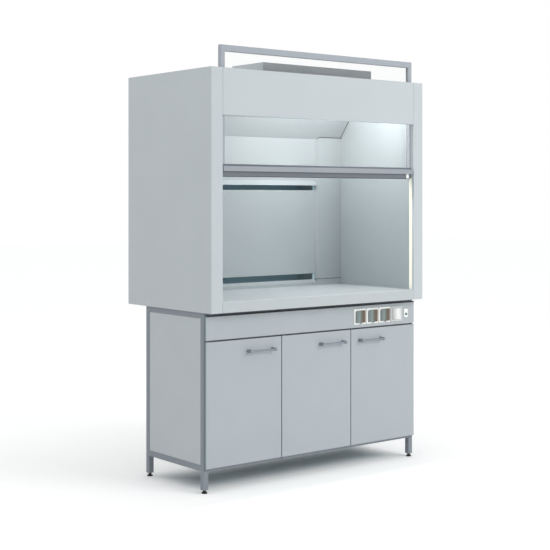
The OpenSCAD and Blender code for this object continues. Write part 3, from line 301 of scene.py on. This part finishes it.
softRadius = {  # the bevel along each solid's edges, in millimetres
    "side_frame_left": 0.4, "side_frame_right": 0.4, "cross_rails": 0.4, "levelling_feet": 0.8,
    "side_panel_left": 0.8, "side_panel_right": 0.8, "cabinet_floor": 0.8, "cabinet_top": 0.8,
    "cabinet_back": 0.8, "cabinet_dividers": 0.8, "apron": 0.8, "door_pivots": 0.3, "cheek_left": 0.5,
    "cheek_right": 0.5, "liner_left": 0.3, "liner_right": 0.3, "worktop": 1.2, "fascia": 0.5, "roof": 0.4,
    "back_panel": 0.4, "baffle_sides": 0.8, "baffle_bottom": 0.8, "baffle_middle": 0.8, "baffle_upper": 0.8,
    "baffle_slope": 0.8, "baffle_posts": 0.4, "lamp_box": 1.0, "exhaust_collar": 0.4, "sash_frame": 1.0,
    "sash_bottom_rail": 1.2, "sash_grip": 0.5, "sash_shoes": 1.0, "sash_guides": 0.5, "pane_channels": 0.5,
    "counterweights": 1.5, "pulley_left": 0.3, "pulley_right": 0.3, "pulley_yokes": 0.4, "light_rocker": 1.0,
    "light_switch_frame": 1.2, "button_plate": 1.0, "fan_button": 1.0, "socket_inserts": 0.6,
    "handle_left": 0.2, "handle_middle": 0.2, "handle_right": 0.2,
}
for side in ("left", "middle", "right"):
    softRadius["door_" + side] = 0.6
    softRadius["socket_frame_" + side] = 1.2
    softRadius["socket_lid_" + side] = 0.8
squarely = 0.9  # a face looks along an axis when this much of its normal does
stileReach = 0.5  # metres from the middle, past which the faces that look back are the stiles' grooves, painted paler as painted light
facesOf = {  # faces of a solid that have another finish, by the way they face and where they are
    # the apron's underside is painted almost black: painted shade in the gap over the doors
    "apron": {"edgeBand": lambda way, middle: abs(way.y) < squarely,
              "gapShadeEdge": lambda way, middle: way.z < -squarely},
    # the lamp box's front face takes a darker grey: painted shade
    "lamp_box": {"lampFrontShade": lambda way, middle: way.y < -squarely},
    # the back panel's inner face takes a darker teal: painted shade, seen through the slots
    "back_panel": {"rearSkinSlotShade": lambda way, middle: way.y < -squarely},
    # the posts' fronts take a pale teal: painted light over their shadow, with teal painted shade
    "baffle_posts": {"postFrontLightAndShade": lambda way, middle: way.y < -squarely},
    # the stiles' inner faces are painted paler, as painted light, and the frame's undersides darker, as
    # painted shade
    "sash_frame": {"stileSideLight": lambda way, middle: way.x * middle.x < -stileReach,
                   "sashUndersideShade": lambda way, middle: way.z < -squarely},
}
for side in ("left", "middle", "right"):
    # the doors' tops are painted almost black: painted shade in the gap under the apron
    facesOf["door_" + side] = {"edgeBand": lambda way, middle: abs(way.y) < squarely,
                               "gapShadeEdge": lambda way, middle: way.z > squarely}
joining = {"apart": 0.000005, "flatDegrees": 0.6}  # corners and faces this alike become one
rounding = {"segments": 2, "sharpDegrees": 30}  # edges sharper than this are rounded


def addPiece(name, mesh, body, slot, *replaced):
    piece = bpy.data.objects.new(name, mesh)
    bpy.context.scene.collection.objects.link(piece)
    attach(piece, body)
    if replaced:
        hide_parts(*replaced)
    return piece


def soften(piece, millimetres):
    bevel = piece.modifiers.new("edges", "BEVEL")
    bevel.width = millimetres / 1000
    bevel.segments = rounding["segments"]
    bevel.limit_method = "ANGLE"
    bevel.angle_limit = math.radians(rounding["sharpDegrees"])
    piece.modifiers.new("faces", "WEIGHTED_NORMAL")


def softCopy(node, millimetres):
    # The solid's triangles are joined into its true faces, and a bevel rounds the edges between them.
    mesh = nodes[node].data.copy()
    mesh.name = "soft_" + node
    build = bmesh.new()
    build.from_mesh(mesh)
    bmesh.ops.remove_doubles(build, verts=build.verts, dist=joining["apart"])
    bmesh.ops.dissolve_limit(build, angle_limit=math.radians(joining["flatDegrees"]), verts=build.verts,
                             edges=build.edges)
    extra = facesOf.get(node, {})
    for face in build.faces:
        face.smooth = True
        for place, chosen in enumerate(extra.values()):
            if chosen(face.normal, face.calc_center_median()):
                face.material_index = place + 1
    build.to_mesh(mesh)
    build.free()
    for finish in extra:
        mesh.materials.append(finishes[finish])
    soften(addPiece("soft_" + node, mesh, bodyOf[node], slotOf[node], node), millimetres)


for node, millimetres in softRadius.items():
    softCopy(node, millimetres)
print("rounded copies made:", len(softRadius))

# Bars: seals, stops and beads, and black strips of painted shade in gaps


def addBar(build, outline, axis, start, end):
    # The outline lies across the axis: (y, z) across x, (x, z) across y, (x, y) across z.
    def corner(along, pair):
        point = list(pair)
        point.insert("xyz".index(axis), along)
        return build.verts.new(point)

    rings = [[corner(along, pair) for pair in outline] for along in (start, end)]
    for i in range(len(outline)):
        j = (i + 1) % len(outline)
        build.faces.new((rings[0][i], rings[0][j], rings[1][j], rings[1][i]))
    build.faces.new(rings[0][::-1])
    build.faces.new(rings[1])


def block(low, high):
    return [(low[0], low[1]), (high[0], low[1]), (high[0], high[1]), (low[0], high[1])]


def arc(middle, radius, first, last, steps):
    return [(middle[0] + radius * math.cos(math.radians(first + (last - first) * i / steps)),
             middle[1] + radius * math.sin(math.radians(first + (last - first) * i / steps)))
            for i in range(steps + 1)]


def barPiece(name, build, finish, body, like):
    # The bars become one piece, carried by the given body.
    bmesh.ops.recalc_face_normals(build, faces=build.faces)
    mesh = bpy.data.meshes.new(name)
    for face in build.faces:
        face.smooth = True
    build.to_mesh(mesh)
    build.free()
    mesh.materials.append(finishes[finish])
    return addPiece(name, mesh, body, slotOf[like])


railLow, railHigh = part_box("sash_bottom_rail")
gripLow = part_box("sash_grip")[0]
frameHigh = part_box("sash_frame")[1]
paneLow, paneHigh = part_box("sash_glass")

sealSizes = {"radius": 0.0034, "inset": 0.008, "steps": 10}  # the lip under the bottom rail
build = bmesh.new()
middle = ((railLow.y + railHigh.y) / 2, railLow.z)
addBar(build, arc(middle, sealSizes["radius"], 180, 360, sealSizes["steps"]), "x",
       railLow.x + sealSizes["inset"], railHigh.x - sealSizes["inset"])
barPiece("sash_lip_seal", build, "rubber", "sash", "sash_bottom_rail")

gasketSizes = {"stile": 0.025, "topRail": 0.032, "wide": 0.0025, "flatWide": 0.0015, "stand": 0.003,
               "roundMm": 0.8}  # along the four edges of the pane, on both of its faces
build = bmesh.new()
inner = frameHigh.x - gasketSizes["stile"]
lowEdge, highEdge = railHigh.z, frameHigh.z - gasketSizes["topRail"]
for face, way in ((paneLow.y, -1), (paneHigh.y, 1)):
    outer = face + way * gasketSizes["stand"]
    for edge, inward in ((-inner, 1), (inner, -1)):
        addBar(build, block((edge, face), (edge + inward * gasketSizes["wide"], outer)), "z",
               lowEdge, highEdge)
    for edge, inward in ((lowEdge, 1), (highEdge, -1)):
        addBar(build, block((face, edge), (outer, edge + inward * gasketSizes["flatWide"])), "x",
               -inner + gasketSizes["wide"], inner - gasketSizes["wide"])
soften(barPiece("sash_pane_gasket", build, "gasket", "sash", "sash_frame"), gasketSizes["roundMm"])

stopSizes = {"inner": 0.631, "outer": 0.648, "thick": 0.005, "roundMm": 1}  # under the grip's right end
build = bmesh.new()
addBar(build, block((stopSizes["inner"], railLow.z), (stopSizes["outer"], gripLow.z)), "y",
       railLow.y - stopSizes["thick"], railLow.y)
soften(barPiece("sash_end_stop", build, "white", "sash", "sash_shoes"), stopSizes["roundMm"])

beadSizes = {"leg": 0.0035, "front": 0.045, "step": 0.001, "steps": 5}  # where the worktop meets the liners
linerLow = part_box("liner_right")[0]
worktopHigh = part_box("worktop")[1]
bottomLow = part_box("baffle_bottom")[0]
build = bmesh.new()
for side in (-1, 1):
    wall = side * linerLow.x
    leg = beadSizes["leg"]
    curve = arc((wall - side * leg, worktopHigh.z + leg), leg, 270, 270 + side * 90, beadSizes["steps"])
    addBar(build, [(wall, worktopHigh.z)] + curve, "y", linerLow.y + beadSizes["front"],
           bottomLow.y - beadSizes["step"])
barPiece("worktop_beads", build, "silicone", bodyOf["worktop"], "liner_right")

apronLow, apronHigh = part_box("apron")
apronShadowStrip = {"proud": 0.0012, "height": 0.0065, "roundMm": 0.4}  # a black strip along the apron's top edge: painted shade in the gap under the worktop
build = bmesh.new()
addBar(build, block((apronLow.y - apronShadowStrip["proud"], apronHigh.z - apronShadowStrip["height"]),
                    (apronLow.y, apronHigh.z)), "x", apronLow.x, apronHigh.x)
soften(barPiece("apron_shadow_strip", build, "gapShadeSeal", bodyOf["apron"], "apron"), apronShadowStrip["roundMm"])

baffleShadowStripsAndBeads = {  # black strips over the side strips and along the slope's ends, painted shade in the gaps there, and beads in the panels' joints
    "height": 0.003, "thick": 0.005, "fold": 0.016, "face": 0.015, "rise": 53, "proud": 0.0005,
    "air": 0.0005, "side": 0.0026, "lap": 0.003, "lip": 0.0012, "joint": 0.0011,
}
stripLow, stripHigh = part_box("baffle_sides")
middleLow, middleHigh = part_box("baffle_middle")
upperLow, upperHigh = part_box("baffle_upper")
slopeLow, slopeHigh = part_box("baffle_slope")
climb = math.tan(math.radians(baffleShadowStripsAndBeads["rise"]))
topOfStrip = slopeLow.z + (baffleShadowStripsAndBeads["face"] - baffleShadowStripsAndBeads["thick"]) * climb
topOfStrip -= baffleShadowStripsAndBeads["height"] + baffleShadowStripsAndBeads["air"]
build = bmesh.new()
for side in (-1, 1):
    inner, outer = middleHigh.x + baffleShadowStripsAndBeads["fold"], stripHigh.x
    addBar(build, block((stripLow.y - baffleShadowStripsAndBeads["lip"], topOfStrip - baffleShadowStripsAndBeads["lip"]),
                        (stripLow.y + baffleShadowStripsAndBeads["thick"], topOfStrip + baffleShadowStripsAndBeads["height"])),
           "x", side * inner, side * outer)
    near, far = slopeLow.y - baffleShadowStripsAndBeads["lip"], slopeHigh.y - baffleShadowStripsAndBeads["thick"] - baffleShadowStripsAndBeads["lip"]
    slant = [(near, slopeHigh.z), (far, slopeLow.z), (far + baffleShadowStripsAndBeads["thick"], slopeLow.z),
             (near + baffleShadowStripsAndBeads["thick"], slopeHigh.z)]
    addBar(build, slant, "x", side * (slopeHigh.x - baffleShadowStripsAndBeads["lap"]),
           side * (slopeHigh.x + baffleShadowStripsAndBeads["side"]))
barPiece("baffle_shadow_strips", build, "gapShadeSeal", bodyOf["baffle_slope"], "baffle_slope")
build = bmesh.new()
for side in (-1, 1):
    edge = side * middleHigh.x
    for low, high in ((middleLow.z, middleHigh.z), (upperLow.z, upperHigh.z)):
        addBar(build, block((edge, middleLow.y - baffleShadowStripsAndBeads["proud"]),
                            (edge + side * baffleShadowStripsAndBeads["joint"], middleHigh.y)), "z", low, high)
barPiece("baffle_joint_beads", build, "jointBead", bodyOf["baffle_middle"], "baffle_middle")
print("seals, stops and beads made")

# Wire ropes and screws, by Geometry Nodes


def nodeGroup(name, sizes):
    group = bpy.data.node_groups.new(name, "GeometryNodeTree")
    group.interface.new_socket("Geometry", in_out="INPUT", socket_type="NodeSocketGeometry")
    for label, value in sizes.items():
        group.interface.new_socket(label, in_out="INPUT", socket_type="NodeSocketFloat").default_value = value
    group.interface.new_socket("Geometry", in_out="OUTPUT", socket_type="NodeSocketGeometry")
    return group, addNode(group, "NodeGroupInput").outputs


def endTree(group, geometry, finish):
    real = addNode(group, "GeometryNodeRealizeInstances", None, {"Geometry": geometry})
    painted = addNode(group, "GeometryNodeSetMaterial", {"Material": finishes[finish]},
                      {"Geometry": real.outputs["Geometry"]})
    addNode(group, "NodeGroupOutput", None, {"Geometry": painted.outputs["Geometry"]})


def runTree(name, source, group, sizes):
    carrier = bpy.data.objects.new(name + "Source", source)
    bpy.context.scene.collection.objects.link(carrier)
    build = carrier.modifiers.new("build", "NODES")
    build.node_group = group
    for item in group.interface.items_tree:
        if item.in_out == "INPUT" and item.name in sizes:
            build[item.identifier] = float(sizes[item.name])
    shape = carrier.evaluated_get(bpy.context.evaluated_depsgraph_get())
    mesh = bpy.data.meshes.new_from_object(shape)
    mesh.name = name
    bpy.data.objects.remove(carrier)
    return mesh


ropeSizes = {"Rope radius": 0.0007, "Strand radius": 0.00038, "Lay": 0.02, "Spacing": 0.0025, "Strands": 6}
wireSides = 5  # enough for a strand under a millimetre thick
ropeTree, given = nodeGroup("strandedRope", ropeSizes)
line = addNode(ropeTree, "GeometryNodeMeshToCurve", None, {"Mesh": given["Geometry"]})
line = addNode(ropeTree, "GeometryNodeResampleCurve", None,
               {"Curve": line.outputs["Curve"], "Length": given["Spacing"]}, mode="LENGTH")
copies = addNode(ropeTree, "GeometryNodeDuplicateElements", None,
                 {"Geometry": line.outputs["Curve"], "Amount": given["Strands"]}, domain="SPLINE")
share = addNode(ropeTree, "ShaderNodeMath", None, {0: copies.outputs["Duplicate Index"], 1: given["Strands"]},
                operation="DIVIDE")
along = addNode(ropeTree, "ShaderNodeMath", None,
                {0: addNode(ropeTree, "GeometryNodeSplineParameter").outputs["Length"], 1: given["Lay"]},
                operation="DIVIDE")
turns = addNode(ropeTree, "ShaderNodeMath", None, {0: share.outputs[0], 1: along.outputs[0]}, operation="ADD")
angle = addNode(ropeTree, "ShaderNodeMath", {1: 2 * math.pi}, {0: turns.outputs[0]}, operation="MULTIPLY")
normal = addNode(ropeTree, "GeometryNodeInputNormal")
tangent = addNode(ropeTree, "GeometryNodeInputTangent")
turned = addNode(ropeTree, "ShaderNodeVectorRotate", None,
                 {"Vector": normal.outputs["Normal"], "Axis": tangent.outputs["Tangent"],
                  "Angle": angle.outputs[0]}, rotation_type="AXIS_ANGLE")
offset = addNode(ropeTree, "ShaderNodeVectorMath", None,
                 {"Vector": turned.outputs["Vector"], "Scale": given["Rope radius"]}, operation="SCALE")
laid = addNode(ropeTree, "GeometryNodeSetPosition", None,
               {"Geometry": copies.outputs["Geometry"], "Offset": offset.outputs["Vector"]})
wire = addNode(ropeTree, "GeometryNodeCurvePrimitiveCircle", {"Resolution": wireSides},
               {"Radius": given["Strand radius"]})
strands = addNode(ropeTree, "GeometryNodeCurveToMesh", {"Fill Caps": True},
                  {"Curve": laid.outputs["Geometry"], "Profile Curve": wire.outputs["Curve"]})
endTree(ropeTree, strands.outputs["Mesh"], "cable")


def polyline(name, points):
    mesh = bpy.data.meshes.new(name)
    mesh.from_pydata(points, [(i, i + 1) for i in range(len(points) - 1)], [])
    return mesh


cableLow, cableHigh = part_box("sash_cables")
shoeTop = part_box("sash_shoes")[1].z
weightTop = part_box("counterweights")[1].z
cableSizes = {"radius": 0.001, "bury": 0.004, "steps": 24}
cableMid = (cableLow.y + cableHigh.y) / 2
for side, pulley in ((-1, "left"), (1, "right")):
    pulleyLow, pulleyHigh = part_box("pulley_" + pulley)
    hub = (pulleyLow + pulleyHigh) / 2
    reach = cableHigh.z - cableSizes["radius"] - hub.z
    sashX, weightX = hub.x - side * reach, hub.x + side * reach
    bend = [(x, cableMid, z) for x, z in arc((hub.x, hub.z), reach, 0, 180, cableSizes["steps"])]
    over = runTree("cable_over_pulley_" + pulley, polyline("bend", bend), ropeTree, ropeSizes)
    replaced = ("sash_cables",) if side < 0 else ()
    addPiece("cable_over_pulley_" + pulley, over, "hood", slotOf["sash_cables"], *replaced)
    for part, x, end, body in (("sash", sashX, shoeTop, "sash"),
                               ("weight", weightX, weightTop, "counterweights")):
        top, foot = Vector((x, cableMid, hub.z)), Vector((x, cableMid, end - cableSizes["bury"]))
        name = "cable_" + part + "_side_" + pulley
        run = bpy.data.objects.new(name, runTree(name, polyline("run", [top, foot]), ropeTree, ropeSizes))
        bpy.context.scene.collection.objects.link(run)
        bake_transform(run)
print("wire ropes made")

screwSizes = {"Head radius": 0.0042, "Head height": 0.0016, "Dome": 0.0008, "Recess": 0.0012}
screwTree, given = nodeGroup("panHeadScrew", screwSizes)
headSides = 18
head = addNode(screwTree, "GeometryNodeMeshCylinder", {"Vertices": headSides},
               {"Radius": given["Head radius"], "Depth": given["Head height"]})
shape, chosen = head.outputs["Mesh"], head.outputs["Top"]
headSteps = ((0.86, given["Dome"], 1), (0.5, None, 1), (0.92, given["Recess"], -1))  # dome, rim, recess
for scale, rise, sign in headSteps:
    cap = addNode(screwTree, "GeometryNodeExtrudeMesh", {"Offset Scale": 0, "Individual": False},
                  {"Mesh": shape, "Selection": chosen}, mode="FACES")
    shape, chosen = cap.outputs["Mesh"], cap.outputs["Top"]
    shape = addNode(screwTree, "GeometryNodeScaleElements", {"Scale": scale},
                    {"Geometry": shape, "Selection": chosen}, domain="FACE").outputs["Geometry"]
    if rise:
        way = addNode(screwTree, "ShaderNodeCombineXYZ", None, {"Z": rise})
        way = addNode(screwTree, "ShaderNodeVectorMath", {"Scale": sign}, {"Vector": way.outputs[0]},
                      operation="SCALE")
        moved = addNode(screwTree, "GeometryNodeSetPosition", None,
                        {"Geometry": shape, "Selection": chosen, "Offset": way.outputs[0]})
        shape = moved.outputs["Geometry"]
facing = addNode(screwTree, "GeometryNodeInputNamedAttribute", {"Name": "facing"}, data_type="FLOAT_VECTOR")
turn = addNode(screwTree, "FunctionNodeAlignRotationToVector", None, {"Vector": facing.outputs["Attribute"]},
               axis="Z")
placed = addNode(screwTree, "GeometryNodeInstanceOnPoints", None,
                 {"Points": given["Geometry"], "Instance": shape, "Rotation": turn.outputs["Rotation"]})
endTree(screwTree, placed.outputs["Instances"], "screw")


def spaced(first, last, pitch):
    count = max(1, round(abs(last - first) / pitch))
    return [first + (last - first) * i / count for i in range(count + 1)]


def border(low, high, inset, pitch):
    # Places along the four edges of a rectangle, as (across, up) pairs.
    left, right, bottom, top = low[0] + inset, high[0] - inset, low[1] + inset, high[1] - inset
    rows = [(across, up) for across in spaced(left, right, pitch) for up in (bottom, top)]
    return rows + [(across, up) for across in (left, right) for up in spaced(bottom, top, pitch)[1:-1]]


screwPlaces = {"inset": 0.012, "pitch": 0.22, "lampInset": 0.03, "lampPitch": 0.3, "collarScrews": 8,
               "flange": 0.012, "flangeThick": 0.002}
places = {}  # for each body, the screws' points and the way their heads face
backLow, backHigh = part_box("back_panel")
rows = border((backLow.x, backLow.z), (backHigh.x, backHigh.z), screwPlaces["inset"], screwPlaces["pitch"])
places[bodyOf["back_panel"]] = [((x, backHigh.y, z), (0, 1, 0)) for x, z in rows]
cabinetLow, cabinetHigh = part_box("cabinet_back")
rows = border((cabinetLow.x, cabinetLow.z), (cabinetHigh.x, cabinetHigh.z), screwPlaces["inset"],
              screwPlaces["pitch"])
places.setdefault(bodyOf["cabinet_back"], []).extend(((x, cabinetHigh.y, z), (0, 1, 0)) for x, z in rows)
lampLow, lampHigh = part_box("lamp_box")
for x in spaced(lampLow.x + screwPlaces["lampInset"], lampHigh.x - screwPlaces["lampInset"],
                screwPlaces["lampPitch"]):
    places[bodyOf["roof"]].append(((x, lampHigh.y, lampLow.z + screwPlaces["inset"]), (0, 1, 0)))
collarLow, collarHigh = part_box("exhaust_collar")
collarMid = (collarLow + collarHigh) / 2
ring = (collarHigh.x - collarLow.x) / 2 - screwPlaces["flange"] / 2
for i in range(screwPlaces["collarScrews"]):
    turned = 2 * math.pi * (i + 0.5) / screwPlaces["collarScrews"]
    point = (collarMid.x + ring * math.cos(turned), collarMid.y + ring * math.sin(turned),
             collarLow.z + screwPlaces["flangeThick"])
    places[bodyOf["exhaust_collar"]].append((point, (0, 0, 1)))
for door in ("left", "middle", "right"):
    handleLow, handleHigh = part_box("handle_" + door)
    mid = (handleLow + handleHigh) / 2
    half = (handleHigh.x - handleLow.x) / 2 - (handleHigh.z - handleLow.z) / 2
    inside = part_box("door_" + door)[1].y
    places[bodyOf["door_" + door]] = [((mid.x + side * half, inside, mid.z), (0, 1, 0)) for side in (-1, 1)]
for body, spots in places.items():
    mesh = bpy.data.meshes.new("screwPoints")
    mesh.from_pydata([point for point, way in spots], [], [])
    mesh.attributes.new("facing", "FLOAT_VECTOR", "POINT").data.foreach_set(
        "vector", [value for point, way in spots for value in way])
    addPiece("screws_" + body, runTree("screws_" + body, mesh, screwTree, screwSizes), body,
             slotOf["door_pivots"])
print("screws made:", sum(len(spots) for spots in places.values()))

# Floor, world and lamps

stageLook = {  # the floor's tones go by the distance outside the feet, in metres; under the base its colour is darkened as a painted shadow
    "floorColour": "#FBFCFC", "shadeColour": "#CFD9DD", "shadeDeep": -0.24, "shadeEnd": 0.05,
    "shadeLeft": 0.03, "glowNear": 0.26, "glowFar": 0.42, "glowEnd": 1.6, "floorHalf": 30,
    "ambient": 0.6, "backdrop": 1.0,
}
footLow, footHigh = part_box("levelling_feet")
footLow.x -= stageLook["shadeLeft"]  # the shadow reaches a little further on that side


def seenDirectly(tree):
    # 1 where the eye sees a surface itself, in a mirror or through glass, and 0 for the light it sends on.
    path = addNode(tree, "ShaderNodeLightPath").outputs
    straight = addNode(tree, "ShaderNodeMath", None, {0: path["Is Camera Ray"], 1: path["Is Glossy Ray"]},
                       operation="MAXIMUM")
    return addNode(tree, "ShaderNodeMath", None, {0: straight.outputs[0], 1: path["Is Transmission Ray"]},
                   operation="MAXIMUM").outputs[0]


floorMaterial, tree = newMaterial("paleStudioFloor")
place = addNode(tree, "ShaderNodeTexCoord").outputs["Object"]
middle, halfSize = (footLow + footHigh) / 2, (footHigh - footLow) / 2
fromMiddle = addNode(tree, "ShaderNodeVectorMath", {1: (middle.x, middle.y, 0)}, {0: place},
                     operation="SUBTRACT")
size = addNode(tree, "ShaderNodeVectorMath", None, {0: fromMiddle.outputs["Vector"]}, operation="ABSOLUTE")
past = addNode(tree, "ShaderNodeVectorMath", {1: (halfSize.x, halfSize.y, 0)}, {0: size.outputs["Vector"]},
               operation="SUBTRACT")
edges = addNode(tree, "ShaderNodeSeparateXYZ", None, {"Vector": past.outputs["Vector"]})
reach = addNode(tree, "ShaderNodeMath", None, {0: edges.outputs["X"], 1: edges.outputs["Y"]},
                operation="MAXIMUM")  # distance outside the feet, negative under the base
# Painted shadow: the floor's colour darkens towards shadeColour under the base.
shade = addNode(tree, "ShaderNodeMapRange",
                {"From Min": stageLook["shadeDeep"], "From Max": stageLook["shadeEnd"]},
                {"Value": reach.outputs[0]}, interpolation_type="SMOOTHSTEP")
tint = addNode(tree, "ShaderNodeMix",
               {6: linear(stageLook["shadeColour"]), 7: linear(stageLook["floorColour"])},
               {0: shade.outputs["Result"]}, data_type="RGBA")
diffuse = addNode(tree, "ShaderNodeBsdfDiffuse", None, {"Color": tint.outputs[2]})
spread = addNode(tree, "ShaderNodeMapRange",
                 {"From Min": 0, "From Max": stageLook["glowEnd"],
                  "To Min": stageLook["glowNear"], "To Max": stageLook["glowFar"]},
                 {"Value": reach.outputs[0]})  # the floor turns white away from the object's shadow
spread = addNode(tree, "ShaderNodeMath", None, {0: spread.outputs["Result"], 1: shade.outputs["Result"]},
                 operation="MULTIPLY")
seen = addNode(tree, "ShaderNodeMath", None, {0: seenDirectly(tree), 1: spread.outputs[0]},
               operation="MULTIPLY")
glow = addNode(tree, "ShaderNodeEmission", {"Color": linear(stageLook["floorColour"])},
               {"Strength": seen.outputs[0]})
both = addNode(tree, "ShaderNodeAddShader", None, {0: diffuse.outputs[0], 1: glow.outputs[0]})
addNode(tree, "ShaderNodeOutputMaterial", None, {"Surface": both.outputs[0]})
half = stageLook["floorHalf"]
floorMesh = bpy.data.meshes.new("studioFloor")
floorCorners = [(x, y, 0) for x, y in block((-half, -half), (half, half))]
floorMesh.from_pydata(floorCorners, [], [(0, 1, 2, 3)])
floorMesh.materials.append(floorMaterial)
studioFloor = bpy.data.objects.new("studioFloor", floorMesh)
bpy.context.scene.collection.objects.link(studioFloor)

world = bpy.data.worlds.new("studioWorld")
world.use_nodes = True
tree = world.node_tree
tree.nodes.clear()
strength = addNode(tree, "ShaderNodeMapRange",
                   {"To Min": stageLook["ambient"], "To Max": stageLook["backdrop"]},
                   {"Value": seenDirectly(tree)})
background = addNode(tree, "ShaderNodeBackground", {"Color": (1, 1, 1, 1)},
                     {"Strength": strength.outputs["Result"]})
addNode(tree, "ShaderNodeOutputWorld", None, {"Surface": background.outputs[0]})
bpy.context.scene.world = world
bpy.context.scene.view_settings.view_transform = "Standard"


def areaLamp(name, look):
    data = bpy.data.lights.new(name, "AREA")
    data.shape = "RECTANGLE"
    data.size, data.size_y = look["size"]
    data.energy = look["watts"]
    data.color = linear(look["colour"])[:3]
    lamp = bpy.data.objects.new(name, data)
    lamp.location = look["place"]
    if "tilt" in look:
        lamp.rotation_euler = (math.radians(look["tilt"]), 0, 0)
    else:
        towards = Vector(look["target"]) - lamp.location
        lamp.rotation_euler = towards.to_track_quat("-Z", "Y").to_euler()
    lamp.visible_camera = False
    lamp.visible_glossy = False
    lamp.visible_transmission = False
    bpy.context.scene.collection.objects.link(lamp)


windowLow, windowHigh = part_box("lamp_window")
lampMid = (windowLow + windowHigh) / 2
lampLooks = {  # sizes in metres, tilt in degrees from straight down towards the rear
    "frontSoftLamp": {"size": (4, 3), "watts": 160, "colour": "#FFFFFF", "place": (2.5, -6.0, 4.0),
                      "target": (0, 0, 1.1)},
    "leftSoftLamp": {"size": (1.5, 1.2), "watts": 9, "colour": "#FFFFFF", "place": (-2.6, -0.4, 3.7),
                     "target": (-0.75, 0, 1.8)},
    "chamberLamp": {"size": (0.7, 0.1), "watts": 8.4, "colour": "#FFFBFA", "tilt": 4,  # under the window
                    "place": (lampMid.x + 0.2, lampMid.y, windowLow.z - 0.045)},
    "slopeLamp": {"size": (1.25, 0.05), "watts": 1.9, "colour": "#FFF9F7", "tilt": 100,
                  "place": (0, slopeLow.y - 0.11, windowLow.z - 0.13)},
    "plenumLamp": {"size": (0.9, 0.7), "watts": 0.25, "colour": "#C8EEFF", "tilt": 90,  # behind the baffle
                   "place": (0, backLow.y - 0.09, 1.3)},
}
for name, look in lampLooks.items():
    areaLamp(name, look)
print("stage and lamps made")
